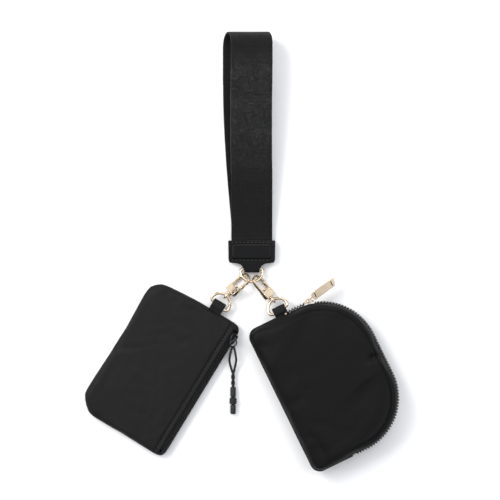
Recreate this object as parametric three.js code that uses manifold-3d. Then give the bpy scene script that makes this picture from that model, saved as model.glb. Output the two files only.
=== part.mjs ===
// Wristlet set: a webbing wrist strap, a D-ring, two snap hooks and two zip pouches. Millimetres.
import * as THREE from "three";
import { mergeVertices } from "three/addons/utils/BufferGeometryUtils.js";
import Module from "manifold-3d";

const wasm = await Module();
wasm.setup();

// Driving dimensions.
const clearance = 0.3;
const strapWidth = 35;
const strapThickness = 1.5;
const strapLoopLength = 177;
const strapLoopHeight = 24;
const strapLean = 0.32;
const yokeWidth = 40.3;
const yokeLength = 18.7;
const neckWidth = 13;
const leather = 1.25;
const ringRadius = 9.5;
const pouchRingRadius = 8.8;
const wireRadius = 1.25;
const barOffset = 2.0;
const hookLength = 22.2;
const hookRoom = 10.5;
const hookWidth = hookRoom + 2 * wireRadius;
const hookThickness = 2.6;
const railWidth = 1.9;
const hookBlock = 6.8;
const blockThickness = 3.6;
const hookHeight = 5.6;
const tabWidth = 11.4;
const tabFabric = 0.8;
const cardLength = 132;
const cardWidth = 87;
const cardThickness = 11;
const cardMouth = 6;
const roundLength = 134.6;
const roundWidth = 98;
const roundCorner = 49;
const roundThickness = 26;
const fabric = 1.5;
const teethGap = 1.4;
const tapeWidth = 2.6;
const sliderLength = 9;
const pullLength = 26;
const pullWidth = 6;
const cordDiameter = 1.4;

const ringTilt = 0.235;
const barHeight = 3.8;
const leftHook = { x: -7.2, y: -7.8, angle: 222.4, roll: 48, lift: hookHeight + 0.5 };
const rightHook = { x: 5.9, y: -9.4, angle: -51.5, roll: -53, lift: hookHeight + 0.7 };

const rad = THREE.MathUtils.degToRad;
const webbing = { color: 0x1f1f21, roughness: 0.6, metalness: 0 };
const nylon = { color: 0x232325, roughness: 0.65, metalness: 0 };
const gloss = { color: 0x18181a, roughness: 0.35, metalness: 0 };
const gold = { color: 0xe2c69a, roughness: 0.2, metalness: 1 };
const blackMetal = { color: 0x202022, roughness: 0.35, metalness: 0.6 };
const resin = { color: 0x161617, roughness: 0.4, metalness: 0 };

const root = new THREE.Group();
root.name = "wristlet_set";

function toSolid(geometry) {
  const bare = geometry.clone();
  bare.deleteAttribute("normal");
  bare.deleteAttribute("uv");
  const joined = mergeVertices(bare, 1e-4);
  const vertProperties = new Float32Array(joined.attributes.position.array);
  const triVerts = new Uint32Array(joined.index.array);
  return new wasm.Manifold(new wasm.Mesh({ numProp: 3, vertProperties, triVerts }));
}

function toGeometry(solid) {
  const mesh = solid.getMesh();
  const geometry = new THREE.BufferGeometry();
  geometry.setAttribute("position", new THREE.BufferAttribute(mesh.vertProperties, 3));
  geometry.setIndex(new THREE.BufferAttribute(mesh.triVerts, 1));
  geometry.computeVertexNormals();
  return geometry;
}

function add(first, ...others) {
  return toGeometry(others.reduce((sum, g) => sum.add(toSolid(g)), toSolid(first)));
}

function cut(first, ...others) {
  return toGeometry(others.reduce((rest, g) => rest.subtract(toSolid(g)), toSolid(first)));
}

function common(first, second) {
  return toGeometry(toSolid(first).intersect(toSolid(second)));
}

function box(x0, x1, y0, y1, z0, z1) {
  const geometry = new THREE.BoxGeometry(x1 - x0, y1 - y0, z1 - z0);
  return geometry.translate((x0 + x1) / 2, (y0 + y1) / 2, (z0 + z1) / 2);
}

// A rod along X (axis 0), Y (axis 1) or Z (axis 2), centred on a point.
function rod(axis, radius, length, x, y, z, sides = 24) {
  const geometry = new THREE.CylinderGeometry(radius, radius, length, sides);
  if (axis === 0) geometry.rotateZ(Math.PI / 2);
  if (axis === 2) geometry.rotateX(Math.PI / 2);
  return geometry.translate(x, y, z);
}

function place(geometry, matrix, name, look) {
  geometry.applyMatrix4(matrix);
  const mesh = new THREE.Mesh(geometry, new THREE.MeshStandardMaterial(look));
  mesh.name = name;
  root.add(mesh);
  return mesh;
}

const still = new THREE.Matrix4();

// Local X runs along the given angle, local Y to its left, local Z up, then rolled about X.
function frameAt(x, y, z, angle, roll = 0, pitch = 0) {
  const matrix = new THREE.Matrix4().makeTranslation(x, y, z);
  matrix.multiply(new THREE.Matrix4().makeRotationZ(rad(angle)));
  matrix.multiply(new THREE.Matrix4().makeRotationY(rad(pitch)));
  return matrix.multiply(new THREE.Matrix4().makeRotationX(rad(roll)));
}

// Wrist strap: webbing doubled into a loop, both ends sewn into the leather yoke.
const yokeBottom = 7.35;
const yokeTop = yokeBottom + yokeLength;
const yokeThickness = 2 * leather + 2 * strapThickness + 2 * clearance;
const yokeMiddle = barHeight;
const strapEnd = yokeBottom + 4;
const loopStart = yokeTop + 6;
const loopTip = yokeTop + strapLoopLength;

function loopHeight(y) {
  const t = THREE.MathUtils.clamp((y - loopStart) / (loopTip - loopStart), 0, 1);
  return strapLoopHeight * Math.sin(Math.min(1, t * 1.25) * Math.PI / 2);
}

const strapShape = new THREE.Shape();
strapShape.moveTo(strapEnd, yokeMiddle - strapThickness);
strapShape.lineTo(yokeTop + 1, yokeMiddle - strapThickness);
strapShape.lineTo(yokeTop + 3, yokeMiddle - strapThickness);
strapShape.lineTo(loopStart, yokeMiddle - strapThickness);
strapShape.bezierCurveTo(loopStart + 30, 0.2, loopTip - 90, 0.2, loopTip - strapLoopHeight / 2, 0.2);
strapShape.absarc(loopTip - strapLoopHeight / 2, strapLoopHeight / 2 + 0.2, strapLoopHeight / 2,
  -Math.PI / 2, Math.PI / 2, false);
strapShape.bezierCurveTo(loopTip - 70, strapLoopHeight + 1.2, loopStart + 50,
  yokeMiddle + strapThickness + 6, loopStart, yokeMiddle + strapThickness);
strapShape.lineTo(yokeTop + 3, yokeMiddle + strapThickness);
strapShape.lineTo(yokeTop + 1, yokeMiddle + strapThickness);
strapShape.lineTo(strapEnd, yokeMiddle + strapThickness);
strapShape.closePath();
const strapHole = new THREE.Path();
const holeStart = loopStart + 8;
const loopMiddle = strapLoopHeight / 2 + 0.2;
const innerCrown = strapLoopHeight / 2 - strapThickness;
strapHole.moveTo(holeStart, yokeMiddle - 0.4);
strapHole.bezierCurveTo(holeStart + 26, 0.2 + strapThickness, loopTip - 90, 0.2 + strapThickness,
  loopTip - strapLoopHeight / 2, loopMiddle - innerCrown);
strapHole.absarc(loopTip - strapLoopHeight / 2, loopMiddle, innerCrown,
  -Math.PI / 2, Math.PI / 2, false);
strapHole.bezierCurveTo(loopTip - 70, loopMiddle + innerCrown + 1, holeStart + 44,
  yokeMiddle + 7, holeStart, yokeMiddle + 0.4);
strapShape.holes.push(strapHole);
const strapGeometry = new THREE.ExtrudeGeometry(strapShape,
  { depth: strapWidth, steps: 1, bevelEnabled: false, curveSegments: 14 });
strapGeometry.translate(0, 0, -strapWidth / 2);
// The profile's X becomes the strap's length (Y) and its Y the height; the lower layer leans out.
const strapPoints = strapGeometry.attributes.position;
for (let i = 0; i < strapPoints.count; i += 1) {
  const along = strapPoints.getX(i);
  const height = strapPoints.getY(i);
  const side = strapPoints.getZ(i);
  const drop = Math.max(0, loopHeight(along) - height);
  const lean = along > loopStart ? strapLean * drop : 0;
  strapPoints.setXYZ(i, side - lean, along, height);
}
place(strapGeometry, still, "strap_webbing", webbing);

const yokeShape = new THREE.Shape();
const neckEdge = barOffset - wireRadius - clearance - leather;
yokeShape.moveTo(-yokeWidth / 2 + 1, yokeTop);
yokeShape.lineTo(-yokeWidth / 2, yokeTop - 1);
yokeShape.lineTo(-yokeWidth / 2 + 0.6, yokeBottom + 2.2);
yokeShape.quadraticCurveTo(-yokeWidth / 2 + 0.9, yokeBottom, -yokeWidth / 2 + 3, yokeBottom);
yokeShape.lineTo(-neckWidth / 2 - 4.6, yokeBottom - 0.4);
yokeShape.quadraticCurveTo(-neckWidth / 2 - 0.6, yokeBottom - 1.2, -neckWidth / 2, yokeBottom - 5);
yokeShape.lineTo(-neckWidth / 2, neckEdge + leather);
yokeShape.lineTo(neckWidth / 2, neckEdge + leather);
yokeShape.lineTo(neckWidth / 2, yokeBottom - 5);
yokeShape.quadraticCurveTo(neckWidth / 2 + 0.6, yokeBottom - 1.2, neckWidth / 2 + 4.6, yokeBottom - 0.4);
yokeShape.lineTo(yokeWidth / 2 - 3, yokeBottom);
yokeShape.quadraticCurveTo(yokeWidth / 2 - 0.9, yokeBottom, yokeWidth / 2 - 0.6, yokeBottom + 2.2);
yokeShape.lineTo(yokeWidth / 2, yokeTop - 1);
yokeShape.lineTo(yokeWidth / 2 - 1, yokeTop);
yokeShape.closePath();
const yokePlate = new THREE.ExtrudeGeometry(yokeShape,
  { depth: yokeThickness, steps: 1, bevelEnabled: false, curveSegments: 6 });
yokePlate.translate(0, 0, yokeMiddle - yokeThickness / 2);
const neckRadius = wireRadius + clearance;
const foldCentre = neckEdge + leather + neckRadius;
const fold = rod(0, neckRadius + leather, neckWidth, 0, foldCentre, yokeMiddle);
const slack = 3.2;
const yoke = cut(
  add(yokePlate, fold),
  box(-strapWidth / 2 - 0.8, strapWidth / 2 + 0.8, strapEnd - clearance, yokeTop + 1,
    yokeMiddle - strapThickness - clearance, yokeMiddle + strapThickness + clearance),
  rod(0, neckRadius, neckWidth + 10, 0, foldCentre, yokeMiddle),
  rod(0, neckRadius, neckWidth + 10, 0, foldCentre + slack, yokeMiddle),
  box(-neckWidth, neckWidth, foldCentre, foldCentre + slack,
    yokeMiddle - neckRadius, yokeMiddle + neckRadius)
);
place(yoke, still, "strap_yoke", gloss);

// D-ring: three quarters of a hoop closed by a straight bar. Local origin is the hoop's centre,
// the bar lies at +Y, the hoop reaches to -Y.
function dRing(radius) {
  const barHalf = Math.sqrt(radius ** 2 - barOffset ** 2);
  const hoop = new THREE.TorusGeometry(radius, wireRadius, 12, 48);
  const reach = radius + 2 * wireRadius;
  const kept = common(hoop, box(-reach, reach, -reach, barOffset, -reach, reach));
  return add(
    kept,
    rod(0, wireRadius, 2 * barHalf, 0, barOffset, 0, 12),
    new THREE.SphereGeometry(wireRadius, 12, 8).translate(barHalf, barOffset, 0),
    new THREE.SphereGeometry(wireRadius, 12, 8).translate(-barHalf, barOffset, 0)
  );
}

const ringMatrix = new THREE.Matrix4().makeTranslation(0, 0, barHeight + Math.sin(ringTilt) * barOffset);
ringMatrix.multiply(new THREE.Matrix4().makeRotationX(-ringTilt));
place(dRing(ringRadius), ringMatrix, "main_ring", gold);

// Snap hook. Local X runs from the arch to the swivel, Y across, Z through the plate; the arch's
// centre is the origin and the gate is on the +Y rail.
const archRadius = hookWidth / 2;
const windowRadius = archRadius - railWidth;
const blockStart = hookLength - archRadius - hookBlock;
const blockEnd = hookLength - archRadius;
const gateRoot = blockStart + 2.6;
const gateTip = 1.2;
const swivelBore = 1.15;

function hookFrame() {
  const shape = new THREE.Shape();
  shape.absarc(0, 0, archRadius, Math.PI / 2, Math.PI * 1.5, false);
  shape.lineTo(blockEnd - 0.6, -archRadius);
  shape.lineTo(blockEnd, -archRadius + 0.6);
  shape.lineTo(blockEnd, archRadius - 0.6);
  shape.lineTo(blockEnd - 0.6, archRadius);
  shape.closePath();
  const hollow = new THREE.Path();
  hollow.absarc(0, 0, windowRadius, Math.PI / 2, Math.PI * 1.5, false);
  hollow.lineTo(blockStart, -windowRadius);
  hollow.lineTo(blockStart, windowRadius);
  hollow.closePath();
  shape.holes.push(hollow);
  const plate = new THREE.ExtrudeGeometry(shape,
    { depth: hookThickness, steps: 1, bevelEnabled: false, curveSegments: 14 });
  plate.translate(0, 0, -hookThickness / 2);
  const past = hookWidth;
  const block = box(blockStart, blockEnd, -archRadius, archRadius,
    -blockThickness / 2, blockThickness / 2);
  return cut(
    add(plate, block),
    box(gateTip, blockStart + 0.01, windowRadius - 0.2, past, -past, past),
    box(blockStart - 1, gateRoot + 1.4, windowRadius - 1.8, past, -0.9, 0.9),
    rod(2, 0.9, past, gateRoot, windowRadius + 0.35, 0, 16),
    rod(0, swivelBore, hookBlock + 4, (blockStart + blockEnd) / 2, 0, 0, 16)
  );
}

function gate() {
  const bar = box(gateTip + clearance, blockStart - 2 * clearance, windowRadius, archRadius,
    -hookThickness / 2, hookThickness / 2);
  const tongue = box(blockStart - 1, gateRoot + 1, windowRadius - 0.3, archRadius, -0.6, 0.6);
  const bore = rod(2, 0.85, 4, gateRoot, windowRadius + 0.35, 0, 12);
  return cut(add(bar, tongue), bore);
}

function gatePin() {
  return rod(2, 0.55, hookThickness + 0.3, gateRoot, windowRadius + 0.35, 0, 12);
}

const eyeCentre = blockEnd + 3.7;
const eyeWire = 0.9;
const eyeHole = wireRadius + clearance;

// The swivel turns in the hook's block: head in the window, post in the bore, collar and eye below.
function swivelEye(hook) {
  const profile = [
    [0, blockStart - 1.7], [1.7, blockStart - 1.7], [2.1, blockStart - 1.3],
    [2.1, blockStart - clearance], [swivelBore - clearance, blockStart - clearance],
    [swivelBore - clearance, blockEnd + clearance],
    [2.9, blockEnd + clearance], [3.0, blockEnd + clearance + 0.3], [3.0, blockEnd + 1.5],
    [1.6, blockEnd + 2.0], [0, blockEnd + 2.0],
  ].map(([r, x]) => new THREE.Vector2(r, x));
  const turned = new THREE.LatheGeometry(profile, 20).rotateZ(-Math.PI / 2);
  const loop = new THREE.TorusGeometry(eyeHole + eyeWire, eyeWire, 10, 28);
  loop.rotateX(Math.PI / 2 - rad(hook.roll)).translate(eyeCentre, 0, 0);
  return add(turned, loop);
}

function snapHook(prefix, hook) {
  const matrix = frameAt(hook.x, hook.y, hook.lift, hook.angle, hook.roll);
  place(hookFrame(), matrix, `${prefix}_hook_frame`, gold);
  place(gate(), matrix, `${prefix}_hook_gate`, gold);
  place(gatePin(), matrix, `${prefix}_gate_pin`, gold);
  place(swivelEye(hook), matrix, `${prefix}_swivel_eye`, gold);
  return matrix;
}

const leftMatrix = snapHook("left", leftHook);
const rightMatrix = snapHook("right", rightHook);

// A pouch's D-ring: its hoop passes through the swivel eye, its bar through the pouch's tab.
function pouchRing(name, hook, angle, pitch) {
  const eye = new THREE.Vector3(eyeCentre, 0, 0).applyMatrix4(
    frameAt(hook.x, hook.y, hook.lift, hook.angle, hook.roll));
  const matrix = frameAt(eye.x, eye.y, eye.z, angle, 0, pitch);
  matrix.multiply(new THREE.Matrix4().makeTranslation(pouchRingRadius, 0, 0));
  matrix.multiply(new THREE.Matrix4().makeRotationZ(-Math.PI / 2));
  place(dRing(pouchRingRadius), matrix, name, gold);
  const bar = new THREE.Vector3(0, barOffset, 0).applyMatrix4(matrix);
  return { matrix, bar };
}

const cardRing = pouchRing("card_ring", leftHook, 230, 0);
const roundRing = pouchRing("round_ring", rightHook, -57, -16);

// A tab: a fabric tape folded over a bar. Local X runs from the fold to the root.
const tabHollow = 2 * wireRadius + 2 * clearance + 0.3;
const tabFold = 3.6;

function tab(reach) {
  const half = tabHollow / 2 + tabFabric;
  const inner = tabHollow / 2;
  const shape = new THREE.Shape();
  shape.absarc(-tabFold + half, 0, half, Math.PI / 2, Math.PI * 1.5, false);
  shape.lineTo(reach, -half);
  shape.lineTo(reach, half);
  shape.closePath();
  const hollow = new THREE.Path();
  hollow.absarc(-tabFold + half, 0, inner, Math.PI / 2, Math.PI * 1.5, false);
  hollow.absarc(reach - inner - 1.2, 0, inner, -Math.PI / 2, Math.PI / 2, false);
  hollow.closePath();
  shape.holes.push(hollow);
  const tape = new THREE.ExtrudeGeometry(shape,
    { depth: tabWidth, steps: 1, bevelEnabled: false, curveSegments: 8 });
  return tape.translate(0, 0, -tabWidth / 2).rotateX(Math.PI / 2);
}

// A rounded soft case: outline and thickness, both drawn in by the same wall when hollow.
function pillow(outline, thickness, edge, side) {
  const depth = thickness - 2 * edge;
  const geometry = new THREE.ExtrudeGeometry(outline, {
    depth, steps: 1, bevelEnabled: true, bevelThickness: edge, bevelSize: side,
    bevelOffset: -side, bevelSegments: 4, curveSegments: 9,
  });
  return geometry.translate(0, 0, edge);
}

// Card pouch. Local X runs up its length, local Y to its left; the zip is along the -Y side.
const cardRing2 = cardRing.bar;
const cardAngle = 58.7;
const cardTabAcross = 15.9;
const cardTabReach = 4.8;
const cardFrame = frameAt(cardRing2.x, cardRing2.y, 0, cardAngle);
cardFrame.multiply(new THREE.Matrix4().makeTranslation(
  -cardTabReach - clearance - cardLength / 2, cardTabAcross, 0));

function cardOutline(inset) {
  const x = cardLength / 2;
  const y = cardWidth / 2;
  const far = 13;
  const near = 6;
  const shape = new THREE.Shape();
  shape.absarc(x - near, -y + near, near - inset, -Math.PI / 2, 0, false);
  shape.absarc(x - far, y - far, far - inset, 0, Math.PI / 2, false);
  shape.absarc(-x + far, y - far, far - inset, Math.PI / 2, Math.PI, false);
  shape.absarc(-x + near, -y + near, near - inset, Math.PI, Math.PI * 1.5, false);
  shape.closePath();
  return shape;
}

const cardEdge = cardThickness / 2 - 0.5;
const cardBody = cut(
  pillow(cardOutline(0), cardThickness, cardEdge, cardEdge),
  pillow(cardOutline(fabric), cardThickness - 2 * fabric, cardEdge - fabric, cardEdge - fabric)
    .translate(0, 0, fabric)
);
const cardHalf = cardThickness / 2;
const mouthEdge = -cardWidth / 2 + cardMouth;
const wide = 2 * (cardLength + cardWidth);
place(common(cardBody, box(-wide, wide, -wide, wide, -1, cardHalf - clearance / 2)),
  cardFrame, "card_back_panel", nylon);
place(common(cardBody, box(-wide, wide, mouthEdge, wide, cardHalf + clearance / 2, wide)),
  cardFrame, "card_front_panel", nylon);
const cardTabFrame = frameAt(cardRing2.x, cardRing2.y, cardRing2.z, cardAngle + 180);
place(tab(cardTabReach), cardTabFrame, "card_tab", webbing);

// Card zip: local X along the pouch, local Y across the zip (outwards), local Z out of its face.
const zipSlope = 40;
const cardZipFrame = cardFrame.clone();
cardZipFrame.multiply(new THREE.Matrix4().makeTranslation(0, mouthEdge - 0.3, cardThickness - 1.1));
cardZipFrame.multiply(new THREE.Matrix4().makeRotationX(rad(zipSlope)));
const cardZipHalf = cardLength / 2 - 7;
const toothHeight = 0.9;
const frontTeeth = tapeWidth;
const backTeeth = frontTeeth + teethGap;

function flatStringer(tapeFrom, tapeTo, teethFrom, teethTo) {
  return add(
    box(-cardZipHalf, cardZipHalf, -tapeTo, -tapeFrom, -0.35, 0.35),
    box(-cardZipHalf, cardZipHalf, -teethTo, -teethFrom, -0.8, 0.8)
  );
}

place(flatStringer(clearance, frontTeeth - 0.1, frontTeeth - toothHeight, frontTeeth),
  cardZipFrame, "card_zip_front", resin);
place(flatStringer(backTeeth + 0.1, backTeeth + tapeWidth - 0.6, backTeeth, backTeeth + toothHeight),
  cardZipFrame, "card_zip_back", resin);
place(box(-cardZipHalf - 2, -cardZipHalf - clearance, -backTeeth - toothHeight,
  -frontTeeth + toothHeight, -1, 1), cardZipFrame, "card_zip_stop", blackMetal);

// A slider: top and bottom plates joined by a post between the teeth, with a bail on top.
const bailRadius = 2.1;
const bailWire = 0.55;

function slider(plateWidth, under, rise, curve = 0) {
  const half = sliderLength / 2;
  const lower = -rise - 1.1;
  const body = add(
    box(-half, half, -plateWidth / 2, plateWidth / 2, rise + curve, rise + curve + 1.2),
    box(-half, half, -under / 2, under / 2, lower, -rise),
    box(-1.2, 1.2, -teethGap / 2 + clearance, teethGap / 2 - clearance, lower, rise + curve + 1)
  );
  const bail = new THREE.TorusGeometry(bailRadius, bailWire, 8, 24).rotateX(Math.PI / 2);
  const top = rise + curve + 1.2;
  const arch = common(bail, box(-9, 9, -9, 9, -0.4, 9)).translate(0, 0, top + 0.2);
  return { geometry: add(body, arch), hole: top + 0.2 + (bailRadius - bailWire) * 0.5 };
}

const cardSliderAt = cardLength / 2 - 13;
const cardZipMiddle = frontTeeth + teethGap / 2;
const cardSliderFrame = cardZipFrame.clone();
cardSliderFrame.multiply(new THREE.Matrix4().makeTranslation(cardSliderAt, -cardZipMiddle, 0));
const cardSlider = slider(6.6, 4.4, 1.1);
place(cardSlider.geometry, cardSliderFrame, "card_slider", blackMetal);

// Cord puller: a split ring in the bail, two strands, a knot bead and two end sleeves.
const pullRing = 3.2;
const pullWire = 0.6;
const pullAngle = -150;
const bailHole = new THREE.Vector3(0, 0, cardSlider.hole).applyMatrix4(cardSliderFrame);
const pullRingFrame = cardSliderFrame.clone();
pullRingFrame.multiply(new THREE.Matrix4().makeTranslation(
  pullRing * Math.cos(rad(pullAngle)), pullRing * Math.sin(rad(pullAngle)), cardSlider.hole));
place(new THREE.TorusGeometry(pullRing, pullWire, 8, 28), pullRingFrame, "cord_ring", blackMetal);
const ringEnd = new THREE.Vector3(pullRing * Math.cos(rad(pullAngle)),
  pullRing * Math.sin(rad(pullAngle)), 0).applyMatrix4(pullRingFrame);
const cordGap = cordDiameter + clearance;
const cordTop = ringEnd.clone().add(new THREE.Vector3(0, -pullWire - cordDiameter / 2 - 0.6, 0));
const cordLow = 3.2;

// Each strand's route as steps from the puller ring: across, along the cord, and height.
function cordRoute(side, bow) {
  const route = [
    [side * 1.2, 0, cordTop.z], [side * bow * 0.8, -5, cordTop.z - 1.6],
    [side * bow, -9.5, cordTop.z - 3], [side * bow * 0.75, -14, cordLow + 0.6],
    [side * cordGap / 2, -19, cordLow], [side * cordGap / 2, -27, cordLow],
    [side * cordGap / 2, -36, cordLow], [side * cordGap / 2, -45, cordLow],
    [side * cordGap / 2, -54.5, cordLow],
  ];
  return route.map(([x, y, z]) => new THREE.Vector3(cordTop.x + x, cordTop.y + y, z));
}

function cordTube(points) {
  const section = new THREE.Shape();
  section.absarc(0, 0, cordDiameter / 2, 0, Math.PI * 2, false);
  const path = new THREE.CatmullRomCurve3(points);
  return new THREE.ExtrudeGeometry(section,
    { steps: 22, extrudePath: path, bevelEnabled: false, curveSegments: 4 });
}

place(cordTube(cordRoute(-1, 3.2)), still, "cord_left", webbing);
place(cordTube(cordRoute(1, 2.8)), still, "cord_right", webbing);

// A bored bead round the cord: half-length, end radius, middle radius.
function bead(name, along, halfLength, endRadius, middleRadius, look) {
  const bore = cordGap / 2 + cordDiameter / 2 + clearance;
  const profile = [
    [bore, -halfLength], [endRadius, -halfLength], [middleRadius, -halfLength * 0.4],
    [middleRadius, halfLength * 0.4], [endRadius, halfLength], [bore, halfLength],
    [bore, -halfLength],
  ].map(([r, y]) => new THREE.Vector2(r, y));
  const geometry = new THREE.LatheGeometry(profile, 18);
  geometry.translate(cordTop.x, cordTop.y - along, cordLow);
  place(geometry, still, name, look);
}

bead("cord_sleeve_upper", 37, 4.2, 2.5, 2.5, nylon);
bead("cord_knot", 44.7, 3, 2.3, 3.1, webbing);
bead("cord_sleeve_lower", 52, 3.8, 2.4, 2.4, nylon);

// Round pouch. Local X runs from the spine outwards, local Y up its length; origin at the
// spine's upper corner on the ground.
const roundAngle = 26;
const roundTabAcross = 34.4;
const roundTabReach = 3.4;
const roundBar = roundRing.bar;
const roundFrame = frameAt(roundBar.x, roundBar.y, 0, roundAngle);
roundFrame.multiply(new THREE.Matrix4().makeTranslation(
  -roundTabAcross, -roundTabReach - clearance, 0));
const spineCorner = 9;
const arcX = roundWidth - roundCorner;

function roundOutline(inset) {
  const quarter = Math.PI / 2;
  const shape = new THREE.Shape();
  shape.absarc(spineCorner, -spineCorner, spineCorner - inset, 2 * quarter, quarter, true);
  shape.absarc(arcX, -roundCorner, roundCorner - inset, quarter, 0, true);
  shape.absarc(arcX, -roundLength + roundCorner, roundCorner - inset, 0, -quarter, true);
  shape.absarc(spineCorner, -roundLength + spineCorner, spineCorner - inset,
    -quarter, -2 * quarter, true);
  shape.closePath();
  return shape;
}

const roundHalf = roundThickness / 2;
const zipHalf = tapeWidth + teethGap / 2 + clearance;
const roundBody = cut(
  pillow(roundOutline(0), roundThickness, roundHalf - 1, 7.5),
  pillow(roundOutline(fabric), roundThickness - 2 * fabric, roundHalf - 1 - fabric, 7)
    .translate(0, 0, fabric)
);
place(common(roundBody, box(-wide, wide, -wide, wide, -1, roundHalf - zipHalf)),
  roundFrame, "round_back_panel", nylon);
place(common(roundBody, box(-wide, wide, -wide, wide, roundHalf + zipHalf, wide)),
  roundFrame, "round_front_panel", nylon);
const roundTabFrame = frameAt(roundBar.x, roundBar.y, roundBar.z, roundAngle - 90);
place(tab(roundTabReach), roundTabFrame, "round_tab", webbing);

// The pouch's rim between two places on its outline, as a strip between two insets.
const zipStart = 39;

function rimPoints(inset, steps) {
  const points = [new THREE.Vector2(zipStart, -inset)];
  for (let i = 0; i <= steps; i += 1) {
    const a = Math.PI / 2 * (1 - i / steps);
    const r = roundCorner - inset;
    points.push(new THREE.Vector2(arcX + r * Math.cos(a), -roundCorner + r * Math.sin(a)));
  }
  for (let i = 0; i <= steps; i += 1) {
    const a = -Math.PI / 2 * (i / steps);
    const r = roundCorner - inset;
    const y = -roundLength + roundCorner + r * Math.sin(a);
    points.push(new THREE.Vector2(arcX + r * Math.cos(a), y));
  }
  points.push(new THREE.Vector2(zipStart, -roundLength + inset));
  return points;
}

function rimStrip(from, to, low, high) {
  const outer = rimPoints(from, 16);
  const inner = rimPoints(to, 16).reverse();
  const strip = new THREE.ExtrudeGeometry(new THREE.Shape([...outer, ...inner]),
    { depth: high - low, steps: 1, bevelEnabled: false });
  return strip.translate(0, 0, low);
}

const zipLow = roundHalf - teethGap / 2;
const zipHigh = roundHalf + teethGap / 2;
place(add(rimStrip(0.8, 1.6, zipHigh + 0.1, zipHigh + tapeWidth),
  rimStrip(0.4, 2, zipHigh, zipHigh + toothHeight)), roundFrame, "round_zip_front", resin);
place(add(rimStrip(0.8, 1.6, zipLow - tapeWidth, zipLow - 0.1),
  rimStrip(0.4, 2, zipLow - toothHeight, zipLow)), roundFrame, "round_zip_back", resin);

// Spine band: the fabric side between the zip's two ends, round by the spine.
const bandHeight = 2 * zipHalf - 2 * clearance;
const bandOptions = { steps: 1, bevelEnabled: false, curveSegments: 9 };
const band = cut(
  new THREE.ExtrudeGeometry(roundOutline(0.4), { depth: bandHeight, ...bandOptions }),
  new THREE.ExtrudeGeometry(roundOutline(0.4 + fabric), { depth: bandHeight + 2, ...bandOptions })
    .translate(0, 0, -1)
);
band.translate(0, 0, roundHalf - zipHalf + clearance);
const bandEnd = zipStart - 2.4;
place(common(band, box(-9, bandEnd, -wide, wide, 0, wide)), roundFrame, "round_spine_band", nylon);

for (const [name, y] of [["upper", -1.2], ["lower", -roundLength + 1.2]]) {
  const stop = box(bandEnd + clearance, zipStart - clearance, y - 0.8, y + 0.8,
    roundHalf - 1.6, roundHalf + 1.6);
  place(stop, roundFrame, `round_zip_stop_${name}`, gold);
}

// Round pouch's slider, on the first corner's arc: X along the zip, Z outwards.
const sliderTurn = 12.4;
const sliderInset = 1.2;
const roundSliderFrame = roundFrame.clone();
roundSliderFrame.multiply(new THREE.Matrix4().makeTranslation(arcX, -roundCorner, roundHalf));
roundSliderFrame.multiply(new THREE.Matrix4().makeRotationZ(rad(-sliderTurn)));
roundSliderFrame.multiply(new THREE.Matrix4().makeTranslation(0, roundCorner - sliderInset, 0));
roundSliderFrame.multiply(new THREE.Matrix4().makeRotationX(-Math.PI / 2));
const roundSlider = slider(6.8, 5, 1.15, 0.1);
place(roundSlider.geometry, roundSliderFrame, "round_slider", gold);

// Puller: an eye that turns in the bail, a twisted neck, and a slanted plate lying flat.
const pullerEye = 1.9;
const pullerFrame = roundSliderFrame.clone();
pullerFrame.multiply(new THREE.Matrix4().makeTranslation(0, 0, roundSlider.hole));
const pullerTurn = 22;
pullerFrame.multiply(new THREE.Matrix4().makeRotationY(rad(-pullerTurn)));
const slant = 1.6;
const plateShape = new THREE.Shape();
const plateStart = 2 * pullerEye + 0.4;
plateShape.moveTo(plateStart, -pullWidth / 2 + 0.8);
plateShape.lineTo(plateStart + 1.4, -pullWidth / 2);
plateShape.lineTo(pullLength + slant, -pullWidth / 2);
plateShape.lineTo(pullLength - slant, pullWidth / 2);
plateShape.lineTo(plateStart + 1.4, pullWidth / 2);
plateShape.lineTo(plateStart, pullWidth / 2 - 0.8);
plateShape.closePath();
const plate = new THREE.ExtrudeGeometry(plateShape,
  { depth: 1.1, steps: 1, bevelEnabled: false });
plate.translate(0, 0, -0.55).rotateX(-Math.PI / 2);
const pullEye = new THREE.TorusGeometry(pullerEye, 0.5, 8, 24).translate(pullerEye, 0, 0);
place(add(plate, pullEye, box(2 * pullerEye - 0.2, plateStart + 0.3, -0.55, 0.55, -0.5, 0.5)),
  pullerFrame, "round_puller", gold);

// Ground the set: origin under the middle of everything but the cord, lowest point at zero.
const bounds = new THREE.Box3();
for (const mesh of root.children) {
  if (!mesh.name.startsWith("cord_l") && !mesh.name.startsWith("cord_r")) {
    bounds.expandByObject(mesh);
  }
}
root.position.set(-(bounds.min.x + bounds.max.x) / 2, -(bounds.min.y + bounds.max.y) / 2,
  -bounds.min.z);
root.updateMatrixWorld(true);

export default root;
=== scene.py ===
# Wristlet set: wrist strap, D-ring, two snap hooks and two zip pouches, lying flat and seen from above.
import bmesh
import bpy
import numpy as np
from math import atan2, cos, hypot, pi, radians, sin, sqrt
from mathutils import Matrix, Vector
from mathutils.bvhtree import BVHTree


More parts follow.
